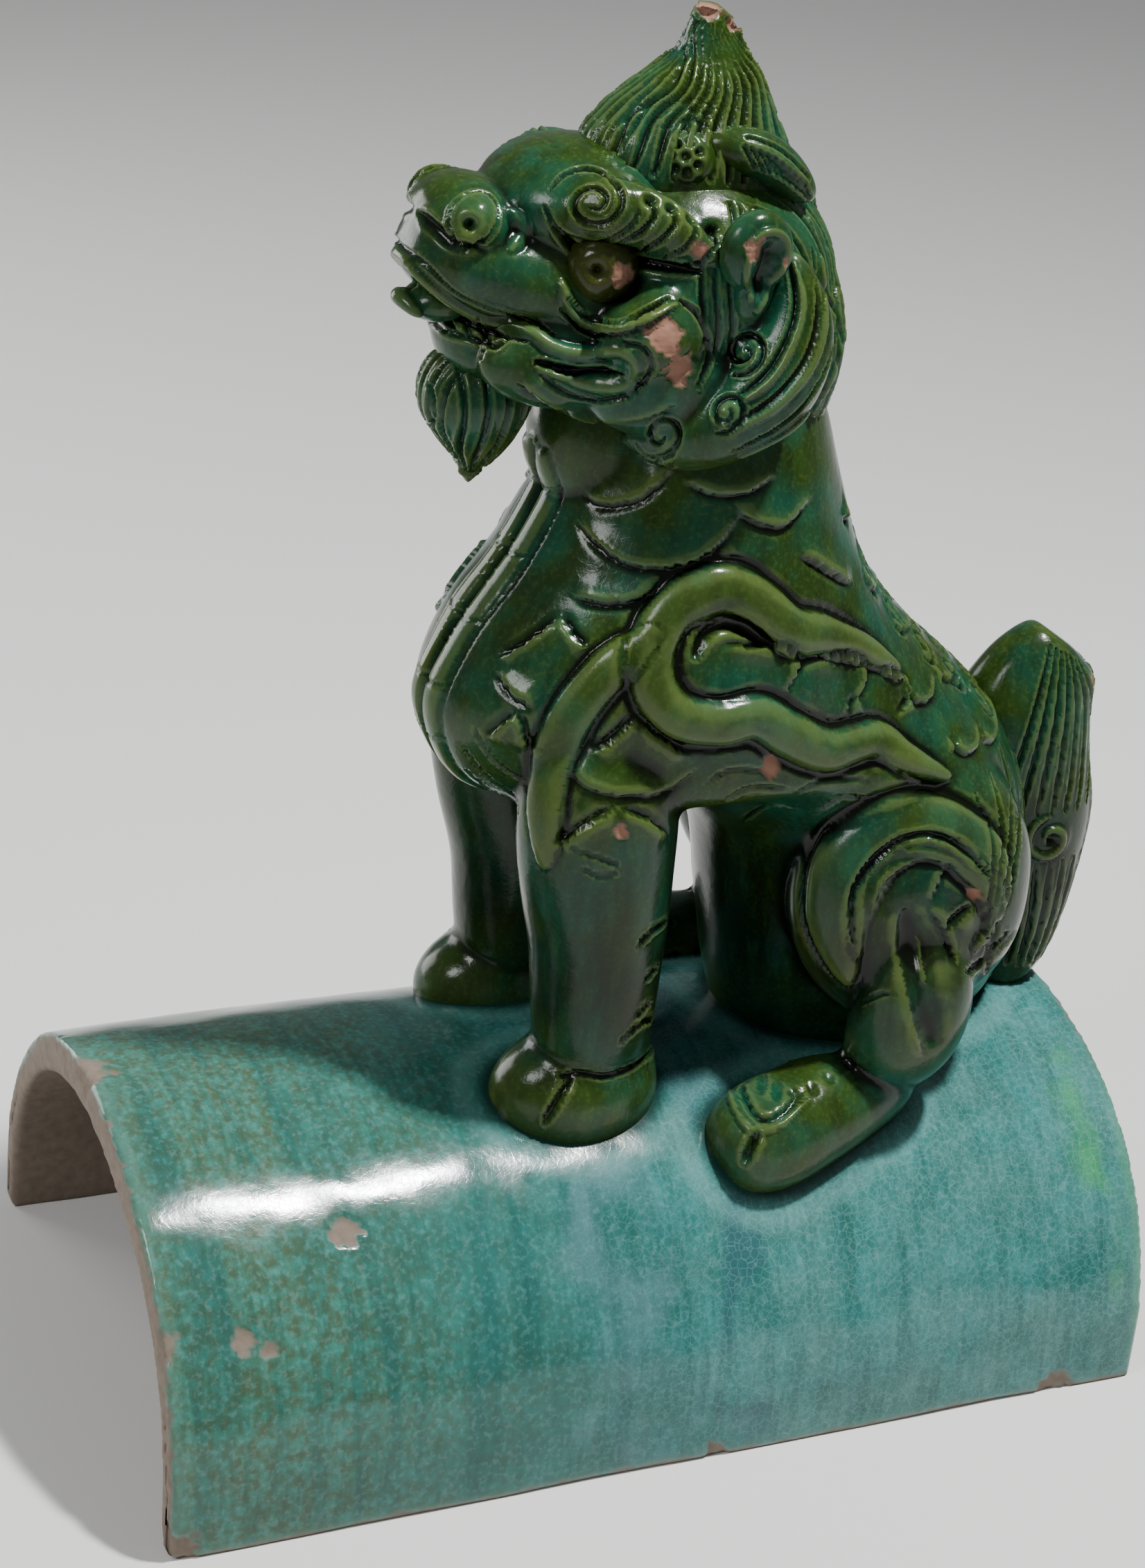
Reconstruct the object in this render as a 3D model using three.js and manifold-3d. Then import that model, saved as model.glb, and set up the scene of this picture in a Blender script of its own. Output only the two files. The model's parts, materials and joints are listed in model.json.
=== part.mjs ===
// Green-glazed roof ridge tile with a seated guardian lion.
//
// Millimetres, +Z up. X runs across the tile, Y along it, and the lion faces -Y. The origin is
// on the ground in the middle of the whole piece, whose tail stands out past the tile's back end.
// The lion is built up from the separate clay pieces that a potter forms and lutes together.
// Heights of the lion are given above the tile's crown.

import * as THREE from 'three';
import { mergeVertices } from 'three/addons/utils/BufferGeometryUtils.js';
import Module from 'manifold-3d';

const wasm = await Module();
wasm.setup();

// ---------------------------------------------------------------- driving dimensions

const CLEARANCE = 0.3; // gap left at every luted joint

const TILE = {
  length: 300,
  halfWidth: 91,
  rise: 96, // height of the crown above the long edges
  skirt: 15, // straight foot below the half round
  wall: 12,
};

const VENT = { length: 70, width: 44, centreY: 82 }; // oval under the hollow lion
const BODY = { halfWidth: 50, wall: 10, neckHalfWidth: 37 };
const HEAD = { halfWidth: 38, halfLength: 42, halfHeight: 34 };
const FORELEG = { radius: 19, footX: 31, footY: -14, sunk: 6 }; // sunk: end of the leg in its paw
const FOREPAW = { halfWidth: 19, halfLength: 25, height: 19 };
const HAUNCH = { radius: 38, halfThickness: 22, inset: 12, y: 80, up: 54 }; // inset from the body's side
const SHANK = { radius: 14, heelX: 46 };
const HINDPAW = { halfWidth: 18, halfHeight: 17, heelX: 46, toeX: 57 };
const TAIL = { halfWidth: 19 };
const CREST = { halfWidth: 23 };
const RIBBON = { halfWidth: 5.5, halfHeight: 5 };
const EYE = { radius: 9.5 };
const NOSTRIL = { radius: 7.5, hole: 2.2 };
const HORN = { bossRadius: 8.5, length: 32, radius: 6.5 };
const EAR = { halfWidth: 11, halfHeight: 15, halfThickness: 6 };

// ---------------------------------------------------------------- glaze colours

const darkGlaze = { color: 0x2f4a25, roughness: 0.22, metalness: 0 };
const ribbonGlaze = { color: 0x38603a, roughness: 0.2, metalness: 0 };
const tileGlaze = { color: 0x4f8f7c, roughness: 0.25, metalness: 0 };
const eyeGlaze = { color: 0x2a2a18, roughness: 0.2, metalness: 0 };

// ---------------------------------------------------------------- solids

const vec = (x, y, z) => new THREE.Vector3(x, y, z);

/** Height of the tile's outer face above the ground at a distance x from its middle. */
function tileTop(x) {
  const across = Math.min(Math.abs(x) / TILE.halfWidth, 1);
  return TILE.skirt + (TILE.rise - TILE.skirt) * Math.sqrt(1 - across * across);
}

/** A point given by its height above the tile's crown. */
const above = (x, y, up) => vec(x, y, TILE.rise + up);

/** A closed three.js geometry as a solid that can be cut and joined. */
function solidOf(geometry) {
  const bare = geometry.clone();
  bare.deleteAttribute('normal');
  bare.deleteAttribute('uv');
  const merged = mergeVertices(bare, 1e-4);
  const mesh = new wasm.Mesh({
    numProp: 3,
    vertProperties: Float32Array.from(merged.attributes.position.array),
    triVerts: Uint32Array.from(merged.index.array),
  });
  mesh.merge();
  return new wasm.Manifold(mesh);
}

/** The solid's surface as a three.js geometry. */
function geometryOf(solid) {
  const mesh = solid.getMesh();
  const geometry = new THREE.BufferGeometry();
  geometry.setAttribute('position', new THREE.BufferAttribute(mesh.vertProperties, 3));
  geometry.setIndex(new THREE.BufferAttribute(mesh.triVerts, 1));
  geometry.computeVertexNormals();
  return geometry;
}

/** The geometry with its whole surface moved outwards by a distance. */
function inflated(geometry, distance) {
  geometry.deleteAttribute('normal');
  geometry.deleteAttribute('uv');
  const merged = mergeVertices(geometry, 1e-4);
  if (distance === 0) return merged;
  merged.computeVertexNormals();
  const { position, normal } = merged.attributes;
  for (let i = 0; i < position.count; i += 1) {
    const at = new THREE.Vector3().fromBufferAttribute(position, i);
    at.addScaledVector(new THREE.Vector3().fromBufferAttribute(normal, i), distance);
    position.setXYZ(i, at.x, at.y, at.z);
  }
  return merged;
}

/** Value of a list of numbers at t from 0 to 1, on a smooth curve through them. */
function along(values, t) {
  if (typeof values === 'number') return values;
  const curve = new THREE.SplineCurve(values.map((v, i) => new THREE.Vector2(i, v)));
  return curve.getPoint(t).y;
}

/**
 * A clay roll along a spine, with rounded ends: a sphere whose poles go to the spine's ends.
 * wide is its half width across `side`, deep its half width square to that, and blunt makes the
 * ends fuller. grow moves the whole surface outwards.
 */
function roll(spine, wide, deep, options = {}) {
  const { side = vec(1, 0, 0), around = 16, rings = 10, blunt = 2, grow = 0 } = options;
  const curve = new THREE.CatmullRomCurve3(spine);
  const sphere = new THREE.SphereGeometry(1, around, rings);
  const spot = sphere.attributes.position;
  for (let i = 0; i < spot.count; i += 1) {
    const u = THREE.MathUtils.clamp(spot.getY(i), -1, 1);
    const ring = Math.hypot(spot.getX(i), spot.getZ(i));
    const t = (1 - u) / 2;
    const centre = curve.getPoint(t);
    const tangent = curve.getTangent(t);
    const deepWay = new THREE.Vector3().crossVectors(tangent, side).normalize();
    const wideWay = new THREE.Vector3().crossVectors(deepWay, tangent).normalize();
    const full = ring < 1e-6 ? 0 : (1 - Math.abs(u) ** blunt) ** (1 / blunt);
    const angle = Math.atan2(spot.getZ(i), spot.getX(i));
    const out = full * along(wide, t);
    const up = full * along(deep, t);
    centre.addScaledVector(wideWay, out * Math.cos(angle));
    centre.addScaledVector(deepWay, up * Math.sin(angle));
    spot.setXYZ(i, centre.x, centre.y, centre.z);
  }
  return solidOf(inflated(sphere, grow));
}

/** An egg of the given half sizes, tilted about X by an angle and about Z by another. */
function egg(centre, half, options = {}) {
  const { pitch = 0, yaw = 0, lean = 0, around = 16, rings = 10, grow = 0 } = options;
  const sphere = new THREE.SphereGeometry(1, around, rings);
  sphere.scale(...half);
  sphere.applyMatrix4(new THREE.Matrix4().makeRotationFromEuler(new THREE.Euler(pitch, lean, yaw, 'ZYX')));
  sphere.translate(centre.x, centre.y, centre.z);
  return solidOf(inflated(sphere, grow));
}

/** Extrudes an outline of X and Z along the whole tile. */
function alongTile(shape, length) {
  const block = new THREE.ExtrudeGeometry(shape, { depth: length, bevelEnabled: false, curveSegments: 20 });
  block.rotateX(Math.PI / 2);
  block.translate(0, length / 2, 0);
  return solidOf(block);
}

/** Outline of the filled half barrel, moved outwards by grow. */
function barrelShape(grow = 0, foot = 0) {
  const half = TILE.halfWidth + grow;
  const round = TILE.rise - TILE.skirt + grow;
  const shape = new THREE.Shape();
  shape.moveTo(half, foot);
  shape.lineTo(half, TILE.skirt);
  shape.absellipse(0, TILE.skirt, half, round, 0, Math.PI, false, 0);
  shape.lineTo(-half, foot);
  shape.closePath();
  return shape;
}

// ---------------------------------------------------------------- the pieces

const pieces = new Map();

const meets = (a, b) =>
  [0, 1, 2].every((k) => a.min[k] < b.max[k] + CLEARANCE && b.min[k] < a.max[k] + CLEARANCE);

/**
 * Adds a piece. shape(grow) makes its solid, and the piece is cut back, with the joint's
 * clearance, from every earlier piece that it is luted onto.
 */
function add(name, finish, shape, hollow = null) {
  let solid = shape(0);
  const box = solid.boundingBox();
  for (const other of pieces.values()) {
    if (meets(box, other.box)) solid = solid.subtract(other.shape(CLEARANCE));
  }
  if (hollow) solid = solid.subtract(hollow);
  pieces.set(name, { shape, solid, box, finish });
}

/** Adds a left piece and its mirror image. shape(side, grow) takes +1 for left, -1 for right. */
function addPair(name, finish, shape) {
  for (const [hand, side] of [['left', 1], ['right', -1]]) {
    add(`${name}_${hand}`, finish, (grow) => shape(side, grow));
  }
}

/** The surface point of a solid's mesh seen from the side at y and z. */
function onFlank(geometry, side, y, z) {
  const mesh = new THREE.Mesh(geometry, new THREE.MeshBasicMaterial({ side: THREE.DoubleSide }));
  const ray = new THREE.Raycaster(vec(side * 200, y, z), vec(-side, 0, 0));
  const hits = ray.intersectObject(mesh);
  return hits.length ? hits[0].point : vec(side, y, z);
}

// Ridge tile: a half barrel with a vent under the lion. Its filled outline cuts what sits on it.
{
  const outer = alongTile(barrelShape(), TILE.length);
  const channel = alongTile(barrelShape(-TILE.wall, -1), TILE.length + 2);
  const ventHalf = [VENT.width / 2, VENT.length / 2, TILE.wall * 3];
  const vent = egg(above(0, VENT.centreY, 0), ventHalf, { rings: 14 });
  const solid = outer.subtract(channel).subtract(vent);
  const filled = (grow) => alongTile(barrelShape(grow, -1), TILE.length + 40);
  pieces.set('ridge_tile', { shape: filled, solid, box: outer.boundingBox(), finish: tileGlaze });
}

/**
 * A closed hull between two outlines in the middle plane. Each station has its front and back as
 * y and height above the crown, and its half width. blunt makes the ends fuller.
 */
function between(stations, grow, options = {}) {
  const { around = 16, rings = 10, blunt = 6 } = options;
  const fronts = new THREE.CatmullRomCurve3(stations.map((s) => above(0, ...s.front)));
  const backs = new THREE.CatmullRomCurve3(stations.map((s) => above(0, ...s.back)));
  const halves = stations.map((s) => s.half);
  const sphere = new THREE.SphereGeometry(1, around, rings);
  const spot = sphere.attributes.position;
  for (let i = 0; i < spot.count; i += 1) {
    const u = THREE.MathUtils.clamp(spot.getY(i), -1, 1);
    const t = (1 - u) / 2;
    const full = (1 - Math.abs(u) ** blunt) ** (1 / blunt);
    const angle = Math.atan2(spot.getZ(i), spot.getX(i));
    const front = fronts.getPoint(t);
    const back = backs.getPoint(t);
    const middle = front.clone().lerp(back, 0.5);
    middle.addScaledVector(back.sub(front), (full * Math.sin(angle)) / 2);
    spot.setXYZ(i, full * along(halves, t) * Math.cos(angle), middle.y, middle.z);
  }
  return solidOf(inflated(sphere, grow));
}

// Torso with the neck, from the rump up.
const TORSO = [
  { front: [42, -12], back: [136, -8], half: 34 },
  { front: [40, 30], back: [139, 32], half: BODY.halfWidth - 8 },
  { front: [30, 66], back: [129, 74], half: BODY.halfWidth - 4 },
  { front: [4, 84], back: [113, 99], half: BODY.halfWidth - 1 },
  { front: [-42, 82], back: [96, 115], half: BODY.halfWidth },
  { front: [-59, 104], back: [77, 132], half: BODY.halfWidth + 1 },
  { front: [-53, 127], back: [65, 149], half: BODY.halfWidth - 3 },
  { front: [-40, 147], back: [58, 166], half: BODY.neckHalfWidth + 4 },
  { front: [-29, 170], back: [51, 188], half: BODY.neckHalfWidth },
  { front: [-26, 190], back: [46, 208], half: BODY.neckHalfWidth - 1 },
];
const torsoShape = (grow) => between(TORSO, grow, { around: 20, rings: 13, blunt: 8 });

const headShape = (grow) => {
  const skull = egg(
    above(0, 4, 227),
    [HEAD.halfWidth, HEAD.halfLength, HEAD.halfHeight],
    { pitch: -0.1, around: 18, rings: 10, grow },
  );
  const muzzle = roll(
    [above(0, -12, 226), above(0, -46, 230), above(0, -74, 237)],
    [HEAD.halfWidth - 4, 25, 16],
    [22, 16, 11],
    { around: 16, rings: 9, blunt: 3.5, grow },
  );
  return skull.add(muzzle);
};

// The body is hollow, and open through the vent and into the neck.
const hollowBody = roll(
  [
    above(0, VENT.centreY, -40),
    above(0, VENT.centreY, 40),
    above(0, 44, 100),
    above(0, 12, 140),
    above(0, 8, 178),
  ],
  [VENT.width / 2, 40, 45, 44, 30].map((half) => half - BODY.wall),
  [VENT.length / 2, 46, 52, 50, 34].map((half) => half - BODY.wall),
  { around: 12, rings: 10, blunt: 6 },
);
add('torso', darkGlaze, torsoShape, hollowBody);
add('head', darkGlaze, headShape);

// Jaw, tongue and beard under the open front of the mouth.
const jawShape = (grow) =>
  roll([above(0, -12, 196), above(0, -38, 208), above(0, -64, 214)], [31, 24, 14], [15, 12, 8], {
    blunt: 3,
    grow,
  });
add('lower_jaw', darkGlaze, jawShape);
const tongueShape = (grow) =>
  egg(above(0, -64, 221), [9, 9, 5.5], { pitch: -0.2, around: 12, rings: 8, grow });
add('tongue', ribbonGlaze, tongueShape);
function beardShape(grow) {
  const spine = [above(0, -50, 210), above(0, -51.5, 197), above(0, -51, 184), above(0, -51.5, 170)];
  return roll(spine, [16, 17, 12, 3.5], [16, 16, 11, 3], { around: 14, blunt: 3, grow });
}
add('beard', ribbonGlaze, beardShape);

// Nose, nostrils, brows, eyes, cheeks and ears, pressed onto the head.
const noseShape = (grow) =>
  egg(above(0, -60, 242), [16, 12, 11], { pitch: -0.2, around: 14, rings: 8, grow });
add('nose', darkGlaze, noseShape);

function nostrilShape(side, grow) {
  const { radius, hole: bore } = NOSTRIL;
  const ring = egg(above(side * 13, -61, 245), [radius, radius, radius], { around: 14, grow });
  const hole = egg(above(side * 21, -62, 246), [radius, bore, bore], { around: 10, rings: 6 });
  return grow ? ring : ring.subtract(hole);
}
addPair('nostril', ribbonGlaze, nostrilShape);

function browShape(side, grow) {
  const arch = [
    above(side * 15, -44, 247),
    above(side * 23, -31, 249),
    above(side * 30, -16, 247),
    above(side * 36, -3, 241),
  ];
  const options = { side: vec(0, 0.2, 1), around: 12, rings: 8, blunt: 2.5, grow };
  return roll(arch, [7, 10, 8, 4], [5, 7, 6, 4], options);
}
addPair('brow', darkGlaze, browShape);

const eyeShape = (side, grow) =>
  egg(above(side * 26, -29, 236), [EYE.radius, EYE.radius, EYE.radius], { around: 14, grow });
addPair('eye', eyeGlaze, eyeShape);

const cheekShape = (side, grow) =>
  egg(above(side * 29, -14, 221), [11, 19, 14], { yaw: side * 0.3, around: 14, rings: 8, grow });
addPair('cheek', darkGlaze, cheekShape);

function earShape(side, grow) {
  const at = above(side * 38, 6, 243);
  const { halfThickness, halfWidth, halfHeight } = EAR;
  const turned = { yaw: side * -0.5, lean: side * 0.35, around: 12, rings: 8, grow };
  return egg(at, [halfThickness, halfWidth, halfHeight], turned);
}
addPair('ear', darkGlaze, earShape);

// Flame crest with a pitted boss and a ribbed horn on each side of its foot.
const FLAME = [
  { front: [-28, 238], back: [38, 236], half: CREST.halfWidth },
  { front: [-29, 252], back: [36, 248], half: CREST.halfWidth },
  { front: [-27, 263], back: [31, 259], half: CREST.halfWidth - 2 },
  { front: [-12, 277.5], back: [21, 278], half: CREST.halfWidth * 0.6 },
  { front: [-2, 290], back: [13, 291], half: CREST.halfWidth * 0.3 },
  { front: [0, 297], back: [8, 296.5], half: CREST.halfWidth * 0.2 },
];
const crestShape = (grow) => between(FLAME, grow, { around: 16, rings: 12 });
add('crest', darkGlaze, crestShape);

function bossShape(side, grow) {
  const { bossRadius } = HORN;
  return egg(above(side * 14, -5, 260), [bossRadius, bossRadius, bossRadius], { around: 12, rings: 8, grow });
}
addPair('horn_boss', ribbonGlaze, bossShape);

function hornShape(side, grow) {
  const reach = HORN.length / 2;
  const tip = above(side * 20, 14 + reach, 259 - reach / 2);
  return roll([above(side * 14, 14 - reach, 265), above(side * 19, 14, 262), tip], HORN.radius, HORN.radius,
    { around: 10, rings: 8, blunt: 3, grow });
}
addPair('horn', darkGlaze, hornShape);

// Mane: a heavy lock down the nape, and a band of curls from behind each ear to the throat.
function napeShape(grow) {
  const spine = [above(0, 26, 246), above(0, 32, 224), above(0, 34, 198), above(0, 40, 168)];
  return roll(spine, [20, 30, 30, 18], [13, 15, 14, 9], { around: 14, rings: 8, blunt: 3, grow });
}
add('mane_nape', darkGlaze, napeShape);

function maneBandShape(side, grow) {
  const spine = [
    above(side * 34, 18, 240),
    above(side * 38, 20, 220),
    above(side * 36, 10, 202),
    above(side * 29, -8, 190),
  ];
  const options = { side: vec(0, 1, 0.3), around: 12, rings: 8, blunt: 3, grow };
  return roll(spine, [8, 10, 10, 7], [9, 11, 11, 7], options);
}
addPair('mane_band', darkGlaze, maneBandShape);

// Legs and feet. A foot stands on the tile wherever the tile's face is under it.
function legShape(side, grow) {
  const { radius, footX, footY, sunk } = FORELEG;
  const foot = vec(side * footX, footY, tileTop(footX) + sunk);
  const spine = [
    above(side * footX, -16, 118),
    above(side * (footX + 2), -19, 82),
    above(side * footX, -14, 40),
    foot,
  ];
  const wide = [radius * 0.8, radius, radius, radius * 0.9];
  const deep = [radius, radius * 1.2, radius, radius * 0.9];
  return roll(spine, wide, deep, { around: 14, blunt: 5, grow });
}
addPair('foreleg', darkGlaze, legShape);

const pawShape = (side, grow) =>
  egg(vec(side * FORELEG.footX, FORELEG.footY - 3, tileTop(FORELEG.footX) + 1),
    [FOREPAW.halfWidth, FOREPAW.halfLength, FOREPAW.height], { around: 14, rings: 8, grow });
addPair('forepaw', darkGlaze, pawShape);

function haunchShape(side, grow) {
  const { halfThickness, radius, inset, y, up } = HAUNCH;
  const centre = above(side * (BODY.halfWidth - inset), y, up);
  return egg(centre, [halfThickness, radius, radius + 4], { lean: side * -0.12, grow });
}
addPair('haunch', darkGlaze, haunchShape);

function shankShape(side, grow) {
  const heel = vec(side * SHANK.heelX, 76, tileTop(SHANK.heelX) + 8);
  return roll([above(side * 52, 78, 44), above(side * 55, 76, 22), heel], SHANK.radius, SHANK.radius * 1.3,
    { around: 12, rings: 8, blunt: 4, grow });
}
addPair('shank', darkGlaze, shankShape);

function hindpawShape(side, grow) {
  const { halfWidth, halfHeight, heelX, toeX } = HINDPAW;
  const heel = vec(side * heelX, 84, tileTop(heelX) + 6);
  const toe = vec(side * toeX, 26, tileTop(toeX) + 4);
  const wide = [halfWidth * 0.7, halfWidth, halfWidth];
  const deep = [halfHeight * 0.7, halfHeight, halfHeight];
  const spine = [heel, heel.clone().lerp(toe, 0.5), toe];
  return roll(spine, wide, deep, { around: 14, rings: 8, blunt: 2.6, grow });
}
addPair('hindpaw', darkGlaze, hindpawShape);

// Upright tail at the back of the tile, widest half way up.
const TAIL_OUTLINE = [
  { front: [124, -10], back: [145, -10], half: TAIL.halfWidth - 7 },
  { front: [126, 6], back: [153, 8], half: TAIL.halfWidth - 3 },
  { front: [119, 41], back: [159.5, 40], half: TAIL.halfWidth },
  { front: [110, 74], back: [157, 73], half: TAIL.halfWidth - 1 },
  { front: [119, 104], back: [152, 99], half: TAIL.halfWidth - 6 },
  { front: [130, 115], back: [144, 107], half: TAIL.halfWidth - 10 },
];
const tailShape = (grow) => between(TAIL_OUTLINE, grow, { around: 14, rings: 10 });
add('tail', ribbonGlaze, tailShape);

// Raised straps and ribbons laid on the torso.
const torsoMesh = geometryOf(torsoShape(0));
const flankPoints = (mesh, side, route) => route.map(([y, up]) => onFlank(mesh, side, y, TILE.rise + up));

function ribbon(points, grow, options = {}) {
  const { halfWidth, halfHeight } = RIBBON;
  return roll(points, halfWidth, halfHeight, { around: 8, rings: 16, blunt: 8, grow, ...options });
}
// Routes over the flank, as y and height above the crown.
const SHOULDER_ROUTE = [
  [81, 92], [66, 100], [42, 104], [19, 116], [-4, 118], [-15, 138],
  [-11, 149], [6, 155], [26, 141], [48, 134], [60, 126],
];
addPair('shoulder_ribbon', ribbonGlaze, (side, grow) => {
  const points = flankPoints(torsoMesh, side, SHOULDER_ROUTE);
  return ribbon(points, grow, { side: vec(side, 0, 0), rings: 30 });
});

const LEG_ROUTE = [[-34, 88], [-38, 110], [-35, 132], [-27, 147], [-12, 151]];
addPair('foreleg_ribbon', ribbonGlaze, (side, grow) => {
  const points = flankPoints(torsoMesh, side, LEG_ROUTE);
  return ribbon(points, grow, { side: vec(side, 0, 0) });
});

const RING = { y: 78, up: 55, radius: 30, from: -0.3, to: 1.2, steps: 7 };
addPair('haunch_ring', ribbonGlaze, (side, grow) => {
  const haunch = geometryOf(haunchShape(side, 0));
  const route = Array.from({ length: RING.steps }, (_, i) => {
    const angle = Math.PI * (RING.from + ((RING.to - RING.from) * i) / (RING.steps - 1));
    return [RING.y + RING.radius * Math.cos(angle), RING.up + RING.radius * Math.sin(angle)];
  });
  return ribbon(flankPoints(haunch, side, route), grow, { side: vec(side, 0, 0) });
});

/** Where a solid's surface is met by a level line that comes from in front or behind. */
function onMiddle(geometry, way, up) {
  const mesh = new THREE.Mesh(geometry, new THREE.MeshBasicMaterial({ side: THREE.DoubleSide }));
  const ray = new THREE.Raycaster(above(0.01, way * 300, up), vec(0, -way, 0));
  return ray.intersectObject(mesh)[0].point;
}

const STRAP = { from: 84, to: 170, steps: 7 };
add('chest_strap', ribbonGlaze, (grow) => {
  const points = Array.from({ length: STRAP.steps }, (_, i) =>
    onMiddle(torsoMesh, -1, STRAP.from + ((STRAP.to - STRAP.from) * i) / (STRAP.steps - 1)));
  return ribbon(points, grow);
});

const SPINE = { from: 84, to: 146, steps: 6 };
add('spine_curls', ribbonGlaze, (grow) => {
  const points = Array.from({ length: SPINE.steps }, (_, i) =>
    onMiddle(torsoMesh, 1, SPINE.from + ((SPINE.to - SPINE.from) * i) / (SPINE.steps - 1)));
  return ribbon(points, grow);
});

// ---------------------------------------------------------------- the whole

const group = new THREE.Group();
for (const [name, piece] of pieces) {
  const mesh = new THREE.Mesh(geometryOf(piece.solid), new THREE.MeshStandardMaterial(piece.finish));
  mesh.name = name;
  group.add(mesh);
}
const whole = new THREE.Box3().setFromObject(group);
group.position.y = -(whole.min.y + whole.max.y) / 2;

export default group;
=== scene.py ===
import json
import logging
import math
from dataclasses import dataclass, field
from enum import Enum
from typing import Sequence

import bmesh
import bpy
import numpy as np
from mathutils import Matrix, Vector
from mathutils.bvhtree import BVHTree

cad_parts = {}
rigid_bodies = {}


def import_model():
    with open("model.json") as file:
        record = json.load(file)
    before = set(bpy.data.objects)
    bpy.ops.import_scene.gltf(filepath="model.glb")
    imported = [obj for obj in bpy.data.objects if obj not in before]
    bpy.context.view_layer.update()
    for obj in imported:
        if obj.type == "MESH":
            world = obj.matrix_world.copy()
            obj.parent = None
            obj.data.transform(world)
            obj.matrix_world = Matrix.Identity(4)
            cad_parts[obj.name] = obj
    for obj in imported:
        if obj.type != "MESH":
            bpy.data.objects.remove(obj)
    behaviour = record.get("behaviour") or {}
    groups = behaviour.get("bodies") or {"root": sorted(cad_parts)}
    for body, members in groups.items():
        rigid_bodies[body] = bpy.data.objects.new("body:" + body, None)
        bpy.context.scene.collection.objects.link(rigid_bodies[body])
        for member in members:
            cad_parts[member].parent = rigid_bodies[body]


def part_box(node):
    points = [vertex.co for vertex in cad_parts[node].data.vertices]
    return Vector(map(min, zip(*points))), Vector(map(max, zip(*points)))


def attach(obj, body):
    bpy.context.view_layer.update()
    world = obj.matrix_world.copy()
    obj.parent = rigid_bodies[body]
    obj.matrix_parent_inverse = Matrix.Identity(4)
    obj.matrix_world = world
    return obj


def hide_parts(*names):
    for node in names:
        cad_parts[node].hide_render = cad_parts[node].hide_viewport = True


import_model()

log = logging.getLogger("ridge_lion")

MM = 0.001
TILE_LOW, TILE_HIGH = (np.array(corner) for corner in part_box("ridge_tile"))
CROWN = TILE_HIGH[2] / MM  # height of the tile's crown, in mm
MIDDLE = (TILE_LOW[1] + TILE_HIGH[1]) / 2 / MM  # the tile's middle along Y, in mm
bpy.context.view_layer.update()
SKIRT = 15  # straight lower edge of the tile's outline, in mm
EYE = np.array([720.0, MIDDLE - 353.2, 559.8])  # where the lion is looked at from, in mm

EGG_FACES = (36, 24)  # faces round and along an egg of clay
HULL_FACES = (64, 64)  # faces round and along a hull between two outlines
STEP_SPREAD = 6.0  # how many half widths away a step's slope dies out
MARK_SPREAD = 2.2  # how many half widths away every other mark does
CAST = 150  # how far off the skin a path is cast from, in mm
JUMP = 5  # spacings between two points, past which a path has jumped to another form
SPIRAL_POINTS = 12  # points to one turn of a spiral
WAVES = 7  # waves that add up to an uneven surface
EDGE_PASSES = 5  # smoothing passes that find sharp edges
EDGE_HEIGHT = 0.16  # how far a sharp edge stands out of its surroundings, in mm
MOST_RELIEF = 1.5  # the relief values' limit

Point = Sequence[float]


# ---------------------------------------------------------------- places and curves


def above(x: float, y: float, up: float) -> np.ndarray:
    """A point in mm from the tile's middle and the height above its crown."""
    return np.array([x, MIDDLE + y, CROWN + up])


def tile_up(x: float) -> float:
    """Height of the tile's top above its crown at a distance x from the middle, in mm."""
    return (CROWN - SKIRT) * (math.sqrt(1 - (x * MM / TILE_HIGH[0]) ** 2) - 1)


def smooth(points: Sequence, t: np.ndarray) -> np.ndarray:
    """Values of a Catmull-Rom curve through the points.

    Args:
        points: numbers or rows, evenly spaced in the curve's parameter.
        t: parameters from 0 to 1.

    Returns:
        One value or row for each t.
    """
    knots = np.asarray(points, float)
    knots = np.concatenate([2 * knots[:1] - knots[1:2], knots, 2 * knots[-1:] - knots[-2:-1]])
    place = np.clip(np.asarray(t, float), 0, 1) * (len(points) - 1)
    first = np.minimum(place.astype(int), len(points) - 2)
    u = place - first
    if knots.ndim > 1:
        u = u[..., None]
    a, b, c, d = (knots[first + k] for k in range(4))
    return 0.5 * (2 * b + (c - a) * u + (2 * a - 5 * b + 4 * c - d) * u**2 + (3 * b - a - 3 * c + d) * u**3)


def unit(rows: np.ndarray) -> np.ndarray:
    """The rows, each scaled to length 1."""
    return rows / np.maximum(np.linalg.norm(rows, axis=-1, keepdims=True), 1e-12)


# ---------------------------------------------------------------- handling meshes


def read_points(piece: bpy.types.Object) -> np.ndarray:
    """The piece's vertices in mm.

    Args:
        piece: the object to read.

    Returns:
        One row for each vertex.
    """
    flat = np.empty(len(piece.data.vertices) * 3, np.float32)
    piece.data.vertices.foreach_get("co", flat)
    return flat.reshape(-1, 3).astype(float) / MM


def read_normals(piece: bpy.types.Object) -> np.ndarray:
    """The piece's vertex normals.

    Args:
        piece: the object to read.

    Returns:
        One row for each vertex.
    """
    flat = np.empty(len(piece.data.vertices) * 3, np.float32)
    piece.data.vertex_normals.foreach_get("vector", flat)
    return flat.reshape(-1, 3).astype(float)


def write_points(piece: bpy.types.Object, points: np.ndarray) -> None:
    """Moves the piece's vertices to points in mm."""
    piece.data.vertices.foreach_set("co", (points * MM).astype(np.float32).ravel())
    piece.data.update()


def only(*pieces: bpy.types.Object) -> None:
    """Selects these pieces and nothing else, and makes the first one active.

    Args:
        pieces: the objects to select.
    """
    bpy.ops.object.select_all(action="DESELECT")
    for piece in pieces:
        piece.select_set(True)
    bpy.context.view_layer.objects.active = pieces[0]


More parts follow.
